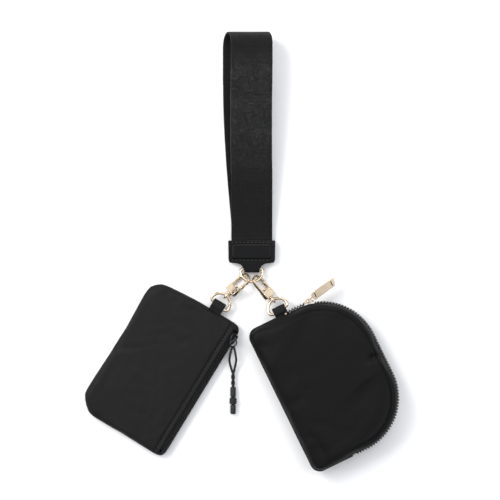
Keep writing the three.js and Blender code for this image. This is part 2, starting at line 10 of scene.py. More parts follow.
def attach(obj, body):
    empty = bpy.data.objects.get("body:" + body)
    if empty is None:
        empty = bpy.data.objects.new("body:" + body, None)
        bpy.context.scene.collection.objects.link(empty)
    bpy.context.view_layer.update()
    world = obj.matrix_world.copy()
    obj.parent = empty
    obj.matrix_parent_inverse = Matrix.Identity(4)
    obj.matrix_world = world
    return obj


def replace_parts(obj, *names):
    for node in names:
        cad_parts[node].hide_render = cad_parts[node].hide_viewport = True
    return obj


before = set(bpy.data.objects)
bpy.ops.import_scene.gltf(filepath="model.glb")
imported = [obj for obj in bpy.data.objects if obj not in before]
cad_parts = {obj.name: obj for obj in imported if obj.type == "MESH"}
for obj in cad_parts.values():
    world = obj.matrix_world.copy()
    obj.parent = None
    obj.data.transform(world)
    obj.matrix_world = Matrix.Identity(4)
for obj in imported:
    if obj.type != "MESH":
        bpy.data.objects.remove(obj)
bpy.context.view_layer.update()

# Camera, straight above the set, and a plain white table top under soft studio light from four
# sides and a sky that is brightest overhead.
MM = 0.001
camera_data = bpy.data.cameras.new("camera")
camera_data.lens = 100
camera = bpy.data.objects.new("camera", camera_data)
bpy.context.scene.collection.objects.link(camera)
camera.location = (9.0 * MM, 1.1 * MM, 1190 * MM)
camera_data.clip_start = 0.01
bpy.context.scene.camera = camera
bpy.context.scene.view_settings.view_transform = "Standard"


def link(name, mesh):
    made = bpy.data.objects.new(name, mesh)
    bpy.context.scene.collection.objects.link(made)
    return made


class Paint:
    """A node material under construction: node() adds a node and sets its inputs, by value or by link."""

    def __init__(self, name):
        self.material = bpy.data.materials.new(name)
        self.material.use_nodes = True
        self.tree = self.material.node_tree
        self.shader = self.tree.nodes["Principled BSDF"]

    def node(self, kind, settings=None, **inputs):
        made = self.tree.nodes.new("ShaderNode" + kind)
        for key, value in (settings or {}).items():
            setattr(made, key, value)
        for key, value in inputs.items():
            self.put(made.inputs[int(key[1:]) if key[1:].isdigit() else key.replace("_", " ")], value)
        return made.outputs[0]

    def put(self, socket, value):
        if isinstance(value, bpy.types.NodeSocket):
            self.tree.links.new(value, socket)
        else:
            socket.default_value = value

    def finish(self, **inputs):
        for key, value in inputs.items():
            self.put(self.shader.inputs[key.replace("_", " ")], value)
        return self.material

    def place(self, source, turn=0.0, scale=1.0):
        coordinates = self.tree.nodes.new("ShaderNodeTexCoord").outputs[source]
        return self.node("Mapping", Vector=coordinates, Rotation=(0, 0, radians(turn)),
                         Scale=(scale, scale, scale))

    def mix(self, amount, first, second):
        return self.node("MixRGB", i0=amount, i1=first, i2=second)

    def range(self, value, low, high, to_low, to_high):
        return self.node("MapRange", i0=value, i1=low, i2=high, i3=to_low, i4=to_high)

    def maths(self, operation, a, b=0.0):
        return self.node("Math", {"operation": operation}, i0=a, i1=b)


ground = Paint("floor_white")
floor_noise = ground.node("TexNoise", Vector=ground.place("Object"), Scale=9.0)
floor_material = ground.finish(
    Base_Color=ground.mix(floor_noise, (0.93, 0.93, 0.94, 1), (0.95, 0.95, 0.955, 1)),
    Roughness=0.75)
floor = link("floor", bpy.data.meshes.new("floor"))
floor.data.from_pydata([(-4, -4, -0.0002), (4, -4, -0.0002), (4, 4, -0.0002), (-4, 4, -0.0002)], [],
                       [(0, 1, 2, 3)])
floor.data.materials.append(floor_material)

world = bpy.data.worlds.new("studio")
bpy.context.scene.world = world
world.use_nodes = True
sky = world.node_tree.nodes
sky_links = world.node_tree.links
direction = sky.new("ShaderNodeTexCoord")
height = sky.new("ShaderNodeSeparateXYZ")
sky_links.new(direction.outputs["Generated"], height.inputs[0])
climb = sky.new("ShaderNodeMapRange")
climb.interpolation_type = "SMOOTHSTEP"
climb.inputs["From Min"].default_value = 0.18
climb.inputs["From Max"].default_value = 0.98
climb.inputs["To Min"].default_value = 0.03
climb.inputs["To Max"].default_value = 0.95
sky_links.new(height.outputs["Z"], climb.inputs["Value"])
sky_links.new(climb.outputs[0], sky["Background"].inputs["Strength"])
sky["Background"].inputs["Color"].default_value = (0.95, 0.97, 1.0, 1)


def softbox(name, place, size, power, colour=(1, 1, 1)):
    data = bpy.data.lights.new(name, "AREA")
    data.size = size
    data.energy = power
    data.color = colour
    lamp = bpy.data.objects.new(name, data)
    lamp.location = place
    lamp.rotation_mode = "QUATERNION"
    lamp.rotation_quaternion = (-Vector(place)).to_track_quat("-Z", "Y")
    bpy.context.scene.collection.objects.link(lamp)


softbox("key", (-0.78, 0.55, 1.0), 0.6, 12.5, (1.0, 0.985, 0.96))
softbox("fill", (0.5, 0.6, 1.3), 1.1, 5.5, (0.95, 0.97, 1.0))
softbox("left", (-1.15, -0.05, 0.85), 0.35, 3.2)
softbox("right", (1.1, 0.1, 0.8), 0.35, 1.6)
softbox("crown", (0.1, 1.35, 0.75), 0.7, 5.0)

# Wrist strap: 35 mm nylon webbing doubled into a loop. The loop stands about 24 mm high at its
# crown and leans, so its lower layer shows on the left.
STRAP_W, STRAP_T = 35.0, 1.5
RING = Vector((10.507, -16.868, 0))


def skin(name, rings, material, closed_along=False, uv=None):
    """A closed skin over rings of points (each an n by 3 array, in mm)."""
    rings = np.asarray(rings, float)
    count, around = rings.shape[:2]
    faces = []
    for i in range(count if closed_along else count - 1):
        for j in range(around):
            a, b = i * around, (i + 1) % count * around
            k = (j + 1) % around
            faces.append((a + j, a + k, b + k, b + j))
    if not closed_along:
        faces.append(tuple(reversed(range(around))))
        faces.append(tuple(range((count - 1) * around, count * around)))
    mesh = bpy.data.meshes.new(name)
    mesh.from_pydata([tuple(p * MM) for p in rings.reshape(-1, 3)], [], faces)
    if uv is not None:
        layer = mesh.uv_layers.new(name="UVMap")
        flat = np.asarray(uv, float).reshape(-1, 2)
        picks = np.array([loop.vertex_index for loop in mesh.loops])
        layer.data.foreach_set("uv", flat[picks].ravel().astype(np.float32))
    mesh.materials.append(material)
    return tidy(link(name, mesh))


def tidy(made, merge=0.0):
    """Welds, turns normals outwards and shades smooth."""
    build = bmesh.new()
    build.from_mesh(made.data)
    if merge:
        bmesh.ops.remove_doubles(build, verts=build.verts, dist=merge * MM)
    bmesh.ops.recalc_face_normals(build, faces=build.faces)
    build.to_mesh(made.data)
    build.free()
    made.data.shade_smooth()
    return made


def bake(made, kind, **settings):
    """Adds one modifier and applies it to the mesh."""
    modifier = made.modifiers.new("m", kind)
    for key, value in settings.items():
        setattr(modifier, key, value)
    flatten(made)


def flatten(made):
    graph = bpy.context.evaluated_depsgraph_get()
    graph.update()
    new = bpy.data.meshes.new_from_object(made.evaluated_get(graph))
    made.modifiers.clear()
    old, made.data = made.data, new
    bpy.data.meshes.remove(old)
    new.name = made.name
    return made


def bezier(p0, p1, p2, p3, count):
    t = np.linspace(0, 1, count)[:, None]
    p0, p1, p2, p3 = (np.asarray(p, float) for p in (p0, p1, p2, p3))
    return (1 - t) ** 3 * p0 + 3 * (1 - t) ** 2 * t * p1 + 3 * (1 - t) * t ** 2 * p2 + t ** 3 * p3


def run_length(points):
    """Distance from the start of a polyline to each of its points."""
    return np.r_[0, np.cumsum(np.linalg.norm(np.diff(points, axis=0), axis=1))]


def heading(points):
    """Unit direction of a polyline at each of its points."""
    way = np.gradient(points, axis=0)
    return way / np.linalg.norm(way, axis=1)[:, None]


def points_of(made):
    return np.array([v.co for v in made.data.vertices]) / MM


def turn_in(count):
    """Angles of one full turn in equal steps."""
    return np.linspace(0, 2 * pi, count + 1)[:-1]


def rib_bump(paint, coordinates, pitch, across, strength, height):
    """Woven ribs of the given pitch in mm, with a finer crossing yarn."""
    x, y = (paint.node("SeparateXYZ", Vector=coordinates).node.outputs[i] for i in (0, 1))
    ribs = paint.maths("SINE", paint.maths("MULTIPLY", y, 2 * pi / pitch))
    zig = paint.maths("PINGPONG", x, across)
    twill = paint.maths("SINE",
                        paint.maths("MULTIPLY", paint.maths("ADD", zig, y), 2 * pi / (pitch * 0.8)))
    both = paint.maths("ADD", paint.maths("MULTIPLY", ribs, 0.55), paint.maths("MULTIPLY", twill, 0.45))
    return both, paint.node("Bump", Height=both, Strength=strength, Distance=height)


web = Paint("webbing")
strap_uv = web.place("UV")
weave, weave_bump = rib_bump(web, strap_uv, 1.15, 2.2, 0.8, 0.00018)
uv_x, uv_s = (web.node("SeparateXYZ", Vector=strap_uv).node.outputs[i] for i in (0, 1))
stray = web.node("TexNoise", Vector=strap_uv, Scale=0.09, Detail=2.0)
from_middle = web.maths("ABSOLUTE", web.maths(
    "ADD", uv_x, web.range(stray, 0.3, 0.7, -11, 11)))
across_crease = web.maths("SUBTRACT", web.maths("MULTIPLY", from_middle, 0.75),
                                    web.maths("MULTIPLY", uv_s, 0.3))
along_crease = web.maths("ADD", web.maths("MULTIPLY", from_middle, 0.03),
                                   web.maths("MULTIPLY", uv_s, 0.07))
crease = web.node("TexNoise", Vector=web.node("CombineXYZ", X=across_crease, Y=along_crease),
                            Scale=1.0, Detail=4.0)
cross = web.node("TexNoise", Vector=web.node("Mapping", Vector=strap_uv, Scale=(0.03, 0.5, 1)),
                           Scale=1.0, Detail=3.0)
# Satin sheen zone on the loop's upper run: the webbing is glossier there, has crease relief, and carries
# painted highlights along its creases.
satin_sheen_zone = web.maths("MULTIPLY", web.range(uv_s, 62, 104, 0.12, 1),
                           web.range(uv_s, 158, 176, 1, 0.15))
crease_height = web.maths("MULTIPLY", crease, satin_sheen_zone)
crease_bump = web.node("Bump", Height=crease_height, Strength=0.8, Distance=0.0014, Normal=weave_bump)
crease_bump = web.node("Bump", Height=cross, Strength=0.3, Distance=0.0009, Normal=crease_bump)
# Painted highlight: in that zone the crease crests are mixed to a lighter grey in the base colour,
# standing in for satin glints.
painted_glint = web.maths("MULTIPLY", satin_sheen_zone, web.range(crease, 0.46, 0.66, 0, 1))
webbing_tone = web.mix(web.range(weave, -1, 1, 0, 1),
                                  (0.002, 0.002, 0.0022, 1), (0.0075, 0.0075, 0.008, 1))
webbing_tone = web.mix(painted_glint, webbing_tone, (0.021, 0.021, 0.0215, 1))
webbing = web.finish(
    Base_Color=webbing_tone, Roughness=web.range(satin_sheen_zone, 0, 1, 0.5, 0.4),
    Normal=crease_bump, Sheen_Weight=0.02, Sheen_Roughness=0.4,
    Specular_IOR_Level=web.range(satin_sheen_zone, 0, 1, 0.12, 0.24))

MID = 3.8
loop_start, loop_tip, loop_top = 32.05, 203.05, 24.0
half = loop_top / 2
inner_line = half - STRAP_T / 2


def strap_path():
    """The webbing's middle line in (along, height), upper layer first, round the crown and back."""
    up = bezier((loop_tip - half, half + 0.2 + inner_line), (loop_tip - 70, half + 1.2 + inner_line),
                (loop_start + 50, MID + 6.7), (loop_start, MID + STRAP_T / 2 + 0.05), 60)[::-1]
    turn = np.linspace(pi / 2, -pi / 2, 34)[1:-1]
    crown = np.c_[loop_tip - half + inner_line * np.cos(turn), half + 0.2 + inner_line * np.sin(turn)]
    back = bezier((loop_tip - half, half + 0.2 - inner_line), (loop_tip - 90, 0.2 + STRAP_T / 2),
                  (loop_start + 30, 0.2 + STRAP_T / 2), (loop_start, MID - STRAP_T / 2 - 0.05), 60)
    start = [(y, MID + STRAP_T / 2 + 0.05) for y in (12.0, 18.0, 24.0, 28.0)]
    end = [(y, MID - STRAP_T / 2 - 0.05) for y in (28.0, 24.0, 18.0, 12.0)]
    return np.vstack([start, up, crown, back, end])


def ribbon_section(width, thick, steps):
    """Closed section of a webbing: flat faces and rounded selvedges, as (across, through)."""
    r = thick / 2
    top = [(x, r) for x in np.linspace(-width / 2 + r, width / 2 - r, steps)]
    right = [(width / 2 - r + r * cos(a), r * sin(a)) for a in np.linspace(pi / 2, -pi / 2, 6)[1:-1]]
    return np.array(top + right + [(-x, -y) for x, y in top + right])


line = strap_path()
tangent = heading(line)
normal = np.c_[-tangent[:, 1], tangent[:, 0]]
distance = run_length(line)
section = ribbon_section(STRAP_W, STRAP_T, 15)
rings, coords = [], []
rng = np.random.default_rng(7)
waves = rng.uniform(0, 6.28, 6)
for (along, height), (ny, nz), s in zip(line, normal, distance):
    ring, uv = [], []
    for x, n in section:
        free = min(1.0, max(0.0, (along - 34) / 25))
        ripple = 0.22 * sin(s / 5.2 + waves[0] + 0.05 * x) * sin(s / 17 + waves[1])
        ripple += 0.16 * sin(s / 2.9 + x / 9 + waves[2])
        y = along + ny * n
        z = height + nz * n + free * (ripple * 0.6 + 0.0016 * x * x)
        t = min(max((y - loop_start) / (loop_tip - loop_start), 0), 1)
        top = loop_top * sin(min(1, t * 1.25) * pi / 2)
        lean = 0.32 * max(0.0, top - z) if along > loop_start else 0
        ring.append((RING.x + x - lean, RING.y + y, max(z, 0.25)))
        uv.append((x, s))
    rings.append(ring)
    coords.append(uv)
strap = skin("strap_webbing_loop", rings, webbing, uv=coords)
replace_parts(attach(strap, "strap"), "strap_webbing")

# Leather yoke: two glossy leaves sewn over the webbing's ends, with a raised pad on the front leaf.
# Its neck is folded round the main ring's straight bar.
hide = Paint("gloss_leather")
leather_at = hide.place("Object", scale=1000)
grain = hide.node("TexVoronoi", {"feature": "DISTANCE_TO_EDGE"}, Vector=leather_at, Scale=1.6)
pores = hide.node("TexNoise", Vector=leather_at, Scale=0.35, Detail=4.0)
leather_bump = hide.node("Bump", Height=grain, Strength=0.12, Distance=0.0001)
leather_bump = hide.node("Bump", Height=pores, Strength=0.25, Distance=0.0004, Normal=leather_bump)
leather = hide.finish(
    Base_Color=hide.mix(pores, (0.0012, 0.0012, 0.0014, 1), (0.003, 0.003, 0.0033, 1)),
    Roughness=hide.range(pores, 0.3, 0.7, 0.12, 0.2), Normal=leather_bump, Specular_IOR_Level=0.2)


def slab(name, outlines, low, high, bevel, material, matrix=Matrix(), steps=3):
    """A plate from closed outlines (the first the edge, the rest holes) with rounded edges, in mm."""
    curve = bpy.data.curves.new(name, "CURVE")
    curve.dimensions = "2D"
    curve.fill_mode = "BOTH"
    for outline in outlines:
        spline = curve.splines.new("POLY")
        spline.points.add(len(outline) - 1)
        for point, (x, y) in zip(spline.points, outline):
            point.co = (x, y, 0, 1)
        spline.use_cyclic_u = True
    curve.extrude = (high - low) / 2 - bevel
    curve.bevel_depth = bevel
    curve.offset = -bevel
    curve.bevel_resolution = steps
    holder = bpy.data.objects.new(name, curve)
    bpy.context.scene.collection.objects.link(holder)
    graph = bpy.context.evaluated_depsgraph_get()
    mesh = bpy.data.meshes.new_from_object(holder.evaluated_get(graph))
    bpy.data.objects.remove(holder)
    mesh.transform(Matrix.Translation((0, 0, (high + low) / 2)))
    mesh.transform(matrix)
    mesh.transform(Matrix.Scale(MM, 4))
    mesh.materials.clear()
    mesh.materials.append(material)
    return tidy(link(name, mesh), merge=0.004)


def weld(name, *parts):
    """Joins several meshes into one piece, each keeping its material."""
    build = bmesh.new()
    materials = []
    for part in parts:
        shift = len(materials)
        materials += list(part.data.materials)
        before = len(build.faces)
        build.from_mesh(part.data)
        build.faces.ensure_lookup_table()
        for face in build.faces[before:]:
            face.material_index += shift
    mesh = bpy.data.meshes.new(name)
    build.to_mesh(mesh)
    build.free()
    for material in materials:
        mesh.materials.append(material)
    mesh.shade_smooth()
    for part in parts:
        bpy.data.objects.remove(part)
    return link(name, mesh)


def arc(cx, cy, r, a0, a1, steps):
    return [(cx + r * cos(radians(a)), cy + r * sin(radians(a))) for a in np.linspace(a0, a1, steps)]


def yoke_outline(grow, top, neck_end):
    side = [(-19.9, top), (-20.1, top - 1.5), (-19.7, 9.4), (-19.3, 7.9), (-18.3, 7.1), (-16.6, 6.9),
            (-14.2, 6.75),
            (-11.6, 6.3), (-9.6, 5.4), (-8.2, 4.1), (-7.2, 2.5), (-6.6, 0.9), (-6.5, neck_end)]
    whole = side + [(-x, y) for x, y in reversed(side)]
    out = []
    for i, (x, y) in enumerate(whole):
        (x0, y0), (x1, y1) = whole[i - 1], whole[(i + 1) % len(whole)]
        nx, ny = -(y1 - y0), x1 - x0
        size = hypot(nx, ny)
        out.append((x - grow * nx / size, y - grow * ny / size))
    return out


at_ring = Matrix.Translation(RING)
leaf_low = slab("leaf_low", [yoke_outline(0, 25.9, 0.2)], 0.75, 2.15, 0.4, leather, at_ring)
leaf_high = slab("leaf_high", [yoke_outline(0, 26.1, 0.2)], 5.45, 6.85, 0.4, leather, at_ring)
filler = slab("filler", [yoke_outline(-0.25, 11.3, 6.0)], 2.05, 5.55, 0.2, leather, at_ring)
sides = [slab("side", [[(s * 18.4, 11), (s * 19.9, 11), (s * 19.9, 25.5), (s * 18.4, 25.5)]], 2.05, 5.55,
              0.2, leather, at_ring) for s in (-1, 1)]
pad_edge = (arc(14.7, 12.6, 2.2, -90, 0, 6) + arc(14.7, 21.1, 2.2, 0, 90, 6)
    + arc(-14.7, 21.1, 2.2, 90, 180, 6)
            + arc(-14.7, 12.6, 2.2, 180, 270, 6))
pad = slab("pad", [pad_edge], 5.2, 8.4, 1.5, leather, at_ring, 6)
fold_rings = []
for x in np.linspace(-6.5, 6.5, 8):
    outer = [(1.7 - 3.0 * sin(a), MID + 2.98 * cos(a)) for a in np.linspace(0, pi, 16)]
    inner = [(1.7 - 1.65 * sin(a), MID + 1.65 * cos(a)) for a in np.linspace(pi, 0, 16)]
    tail = [(3.4, MID - 2.9), (3.4, MID - 1.7)]
    head = [(3.4, MID + 1.7), (3.4, MID + 2.9)]
    fold_rings.append([(RING.x + x, RING.y + y, z) for y, z in outer + tail + inner + head])
fold = skin("fold", fold_rings, leather)
fold.data.set_sharp_from_angle(angle=0.7)
yoke = weld("strap_yoke_leather", leaf_low, leaf_high, filler, *sides, pad, fold)
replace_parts(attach(yoke, "strap"), "strap_yoke")

# Stitching: two rows of black thread hold the yoke's leaves to the webbing. Each stitch is one short
# rounded block, repeated along its row by Geometry Nodes.
# The thread's colour alternates along its twist between black and a lighter grey. The lighter bands are
# painted highlight on the ply crests, and the same pattern gives the twist its relief.
thread_paint = Paint("black_thread")
twist_and_highlight = thread_paint.node("TexWave", Vector=thread_paint.place("Object", turn=35, scale=1000), Scale=3.0)
thread = thread_paint.finish(
    Base_Color=thread_paint.mix(twist_and_highlight, (0.006, 0.006, 0.0066, 1), (0.03, 0.03, 0.031, 1)),
    Roughness=0.45, Normal=thread_paint.node("Bump", Height=twist_and_highlight, Strength=0.5, Distance=0.0001))


def repeat_tree():
    """Places one rounded block at each point, aimed by its 'aim' and 'up' attributes."""
    tree = bpy.data.node_groups.new("repeat_block", "GeometryNodeTree")
    for name, kind in (("Geometry", "Geometry"), ("Length", "Float"), ("Width", "Float"),
                       ("Height", "Float"), ("Roundness", "Float"), ("Material", "Material")):
        tree.interface.new_socket(name=name, in_out="INPUT", socket_type="NodeSocket" + kind)
    tree.interface.new_socket(name="Geometry", in_out="OUTPUT", socket_type="NodeSocketGeometry")
    new, join_up = tree.nodes.new, tree.links.new
    source, result = new("NodeGroupInput"), new("NodeGroupOutput")
    cube = new("GeometryNodeMeshCube")
    cube.inputs["Size"].default_value = (1, 1, 1)
    smooth = new("GeometryNodeSubdivisionSurface")
    smooth.inputs["Level"].default_value = 1
    join_up(cube.outputs["Mesh"], smooth.inputs["Mesh"])
    crease_of = new("ShaderNodeMath")
    crease_of.operation = "SUBTRACT"
    crease_of.inputs[0].default_value = 1.0
    join_up(source.outputs["Roundness"], crease_of.inputs[1])
    join_up(crease_of.outputs[0], smooth.inputs["Edge Crease"])
    size = new("ShaderNodeCombineXYZ")
    for i, name in enumerate(("Length", "Width", "Height")):
        join_up(source.outputs[name], size.inputs[i])
    shape = new("GeometryNodeTransform")
    join_up(smooth.outputs["Mesh"], shape.inputs["Geometry"])
    join_up(size.outputs[0], shape.inputs["Scale"])
    turns = None
    for attribute, axis in (("aim", "X"), ("up", "Z")):
        read = new("GeometryNodeInputNamedAttribute")
        read.data_type = "FLOAT_VECTOR"
        read.inputs["Name"].default_value = attribute
        aim = new("FunctionNodeAlignRotationToVector")
        aim.axis = axis
        aim.pivot_axis = "AUTO" if axis == "X" else "X"
        join_up(read.outputs["Attribute"], aim.inputs["Vector"])
        if turns:
            join_up(turns, aim.inputs["Rotation"])
        turns = aim.outputs[0]
    spread = new("GeometryNodeInstanceOnPoints")
    join_up(source.outputs["Geometry"], spread.inputs["Points"])
    join_up(shape.outputs["Geometry"], spread.inputs["Instance"])
    join_up(turns, spread.inputs["Rotation"])
    real, painted = new("GeometryNodeRealizeInstances"), new("GeometryNodeSetMaterial")
    join_up(spread.outputs[0], real.inputs[0])
    join_up(real.outputs[0], painted.inputs["Geometry"])
    join_up(source.outputs["Material"], painted.inputs["Material"])
    join_up(painted.outputs[0], result.inputs["Geometry"])
    return tree


repeat_block = repeat_tree()


def repeat(name, places, aims, ups, size, roundness, material):
    """One mesh of blocks at the given places (mm), each size = (length, width, height) in mm."""
    mesh = bpy.data.meshes.new(name)
    mesh.from_pydata([tuple(np.asarray(p) * MM) for p in places], [], [])
    for key, values in (("aim", aims), ("up", ups)):
        store = mesh.attributes.new(key, "FLOAT_VECTOR", "POINT")
        store.data.foreach_set("vector", np.asarray(values, np.float32).ravel())
    made = link(name, mesh)
    modifier = made.modifiers.new("repeat", "NODES")
    modifier.node_group = repeat_block
    sockets = {s.name: s.identifier for s in repeat_block.interface.items_tree if s.in_out == "INPUT"}
    for key, value in zip(("Length", "Width", "Height"), size):
        modifier[sockets[key]] = value * MM
    modifier[sockets["Roundness"]] = roundness
    modifier[sockets["Material"]] = material
    flatten(made)
    for key in ("aim", "up"):
        if key in made.data.attributes:
            made.data.attributes.remove(made.data.attributes[key])
    made.data.shade_smooth()
    return made


def spaced(points, pitch, start=0.0):
    """Evenly spaced places along a polyline, with their directions."""
    points = np.asarray(points, float)
    lengths = run_length(points)
    stops = np.arange(start, lengths[-1], pitch)
    at = np.c_[[np.interp(stops, lengths, points[:, k]) for k in range(3)]].T
    ahead = np.c_[[np.interp(np.minimum(stops + 0.3, lengths[-1]), lengths,
                             points[:, k]) for k in range(3)]].T
    behind = np.c_[[np.interp(np.maximum(stops - 0.3, 0), lengths, points[:, k]) for k in range(3)]].T
    aim = ahead - behind
    return at, aim / np.maximum(np.linalg.norm(aim, axis=1), 1e-9)[:, None]


stitch_places, stitch_aims = [], []
for row in ([(-16.4, 9.2, 6.9), (16.4, 9.2, 6.9)], [(-16.4, 24.4, 6.9), (16.4, 24.4, 6.9)]):
    at, aim = spaced(np.array(row) + np.array(RING), 3.3)
    stitch_places += list(at)
    stitch_aims += list(aim)
yoke_stitches = repeat("yoke_stitches", stitch_places, stitch_aims, [(0, 0, 1)] * len(stitch_places),
                       (2.0, 0.9, 0.7), 1.0, thread)
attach(yoke_stitches, "strap")

# Gold-plated D-rings bent from 2.5 mm wire: a main one on the yoke's neck, and a slightly smaller
# one on each pouch's tab.
plating = Paint("pale_gold")
gold_at = plating.place("Object", scale=1000)
haze = plating.node("TexNoise", Vector=gold_at, Scale=0.25, Detail=5.0)
scratch = plating.node("TexNoise", Vector=plating.node("Mapping", Vector=gold_at, Scale=(0.3, 6, 2)),
                          Scale=1.0, Detail=2.0)
gold = plating.finish(
    Base_Color=plating.mix(haze, (0.60, 0.48, 0.35, 1), (0.74, 0.62, 0.47, 1)),
    Metallic=1.0, Roughness=plating.range(scratch, 0.3, 0.7, 0.14, 0.26),
    Normal=plating.node("Bump", Height=haze, Strength=0.08, Distance=0.0003))
HOOP, POUCH_HOOP, WIRE, BAR = 9.5, 8.8, 1.25, 2.0


def hoop_path(size):
    """The D's middle line: the hoop round to two small bends and the straight bar at +Y."""
    bend = 2.4
    reach = sqrt((size - bend) ** 2 - (BAR - bend) ** 2)
    turn = atan2(BAR - bend, reach)
    hoop = [(size * cos(a), size * sin(a)) for a in np.linspace(pi - turn, 2 * pi + turn, 60)]
    right = [(reach + bend * cos(a),
              BAR - bend + bend * sin(a)) for a in np.linspace(turn, pi / 2, 9)[1:]]
    bar = [(x, BAR) for x in np.linspace(reach, -reach, 14)[1:-1]]
    left = [(-x, y) for x, y in reversed(right)]
    return hoop + right + bar + left


def wire_ring(name, path, radius, material, matrix, sides=16):
    """A closed ring of wire along a flat path."""
    rings = []
    count = len(path)
    for i, (x, y) in enumerate(path):
        (x0, y0), (x1, y1) = path[i - 1], path[(i + 1) % count]
        size = hypot(x1 - x0, y1 - y0)
        nx, ny = (y1 - y0) / size, -(x1 - x0) / size
        ring = []
        for k in range(sides):
            a = 2 * pi * k / sides
            p = matrix @ Vector((x + nx * radius * cos(a), y + ny * radius * cos(a), radius * sin(a)))
            ring.append(tuple(p))
        rings.append(ring)
    return skin(name, rings, material, closed_along=True)


def turned(place, angle, roll=0.0, pitch=0.0):
    return (Matrix.Translation(place) @ Matrix.Rotation(radians(angle), 4, "Z")
            @ Matrix.Rotation(radians(pitch), 4, "Y") @ Matrix.Rotation(radians(roll), 4, "X"))


BLOCK_END, EYE = 15.7, 19.4
LEFT = turned((3.307, -24.668, 6.1), 222.4, 48)
RIGHT = turned((16.407, -26.268, 6.3), -51.5, -53)
hang = Matrix.Translation((POUCH_HOOP, 0, 0)) @ Matrix.Rotation(-pi / 2, 4, "Z")
MAIN_RING = Matrix.Translation((10.507, -16.868, 4.266)) @ Matrix.Rotation(-0.235, 4, "X")
CARD_RING = turned(LEFT @ Vector((EYE, 0, 0)), 230) @ hang
ROUND_RING = turned(RIGHT @ Vector((EYE, 0, 0)), -57, 0, -16) @ hang
for name, size, matrix in (("main_ring", HOOP, MAIN_RING), ("card_ring", POUCH_HOOP, CARD_RING),
                           ("round_ring", POUCH_HOOP, ROUND_RING)):
    ring = wire_ring(name + "_wire", hoop_path(size), WIRE, gold, matrix)
    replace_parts(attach(ring, name), name)

# Snap hooks: a flat frame with a window and a heavy block, a sprung gate on a pin, and a swivel whose
# eye holds the pouch's D-ring.
ARCH, RAIL, PLATE, BLOCK = 6.5, 1.9, 1.3, 1.8
BLOCK_START, GATE_ROOT, GATE_TIP = 8.9, 11.5, 1.2
WINDOW = ARCH - RAIL


def revolve(name, profile, material, matrix, steps=32):
    """A solid turned about local X from (radius, x) pairs that start and end on the axis."""
    build = bmesh.new()
    mesh = bpy.data.meshes.new(name)
    rows = [[build.verts.new((x, r * cos(2 * pi * k / steps), r * sin(2 * pi * k / steps)))
             for k in range(steps)] for r, x in profile if r > 0]
    for a, b in zip(rows, rows[1:]):
        for k in range(steps):
            build.faces.new((a[k], a[(k + 1) % steps], b[(k + 1) % steps], b[k]))
    build.faces.new(rows[0])
    build.faces.new(list(reversed(rows[-1])))
    build.to_mesh(mesh)
    build.free()
    mesh.transform(matrix)
    mesh.transform(Matrix.Scale(MM, 4))
    mesh.materials.append(material)
    return tidy(link(name, mesh))


def snap_hook(prefix, matrix, eye_roll):
    arch = [(-ARCH * sin(a), ARCH * cos(a)) for a in np.linspace(0, pi, 40)]
    gate_cut = [(BLOCK_START, ARCH), (BLOCK_START, WINDOW)]
    window = [(BLOCK_START, -WINDOW)] + [(-WINDOW * sin(a), WINDOW * cos(a))
                                         for a in np.linspace(pi, 0, 36)] + [(GATE_TIP, WINDOW)]
    edge = [(GATE_TIP, ARCH)] + arch + [(BLOCK_END - 0.8, -ARCH), (BLOCK_END, -ARCH + 0.8),
                                        (BLOCK_END, ARCH - 0.8), (BLOCK_END - 0.8, ARCH)]
    frame_plate = slab("plate", [edge + gate_cut + window], -PLATE, PLATE, 0.42, gold, matrix, 4)
    block_edge = [(BLOCK_START + 0.1, -ARCH), (BLOCK_END - 0.8, -ARCH), (BLOCK_END, -ARCH + 0.8),
                  (BLOCK_END, ARCH - 0.8), (BLOCK_END - 0.8, ARCH), (BLOCK_START + 0.1, ARCH)]
    block = slab("block", [block_edge], -BLOCK, BLOCK, 0.4, gold, matrix, 3)
    body = weld(prefix + "_hook_body", frame_plate, block)
    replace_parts(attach(body, prefix + "_hook"), prefix + "_hook_frame")
    gate_edge = [(GATE_TIP + 0.3, WINDOW), (BLOCK_START - 0.6, WINDOW), (BLOCK_START - 0.6, ARCH),
                 (GATE_TIP + 0.3, ARCH)]
    gate = slab("gate_bar", [gate_edge], -PLATE, PLATE, 0.4, gold, matrix, 4)
    tongue = slab("tongue", [[(BLOCK_START - 1, WINDOW - 0.2), (GATE_ROOT + 1, WINDOW - 0.2),
                              (GATE_ROOT + 1, ARCH - 0.1), (BLOCK_START - 1, ARCH - 0.1)]], -0.6, 0.6,
                              0.15, gold,
                  matrix)
    gate = weld(prefix + "_gate_bar", gate, tongue)
    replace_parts(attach(gate, prefix + "_gate"), prefix + "_hook_gate")
    stand = matrix @ Matrix.Translation((GATE_ROOT, WINDOW + 0.35, 0)) @ Matrix.Rotation(-pi / 2, 4, "Y")
    pin = revolve(prefix + "_pin",
                  [(0.35, -2.05), (0.6, -1.95), (0.62, -1.75), (0.55, -1.7), (0.55, 1.7),
                                    (0.62, 1.75), (0.6, 1.95), (0.35, 2.05)], gold, stand, 16)
    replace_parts(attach(pin, prefix + "_hook"), prefix + "_gate_pin")
    post = revolve("post", [(1.2, 7.2), (1.75, 7.35), (2.05, 7.7), (2.1, 8.3), (1.9, 8.55), (0.85, 8.6),
                            (0.85, BLOCK_END + 0.3), (2.6, BLOCK_END + 0.32), (2.95, BLOCK_END + 0.55),
                            (3.0, BLOCK_END + 1.2), (2.8, BLOCK_END + 1.55), (1.9, BLOCK_END + 1.9),
                            (1.2, BLOCK_END + 2.1)], gold, matrix)
    eye = [(2.45 * cos(a), 2.45 * sin(a)) for a in turn_in(40)]
    upright = (matrix @ Matrix.Translation((EYE, 0, 0))
        @ Matrix.Rotation(radians(90 - eye_roll), 4, "X"))
    loop = wire_ring("eye", eye, 0.9, gold, upright, 14)
    swivel = weld(prefix + "_swivel", post, loop)
    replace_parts(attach(swivel, prefix + "_swivel"), prefix + "_swivel_eye")


snap_hook("left", LEFT, 48)
snap_hook("right", RIGHT, -53)

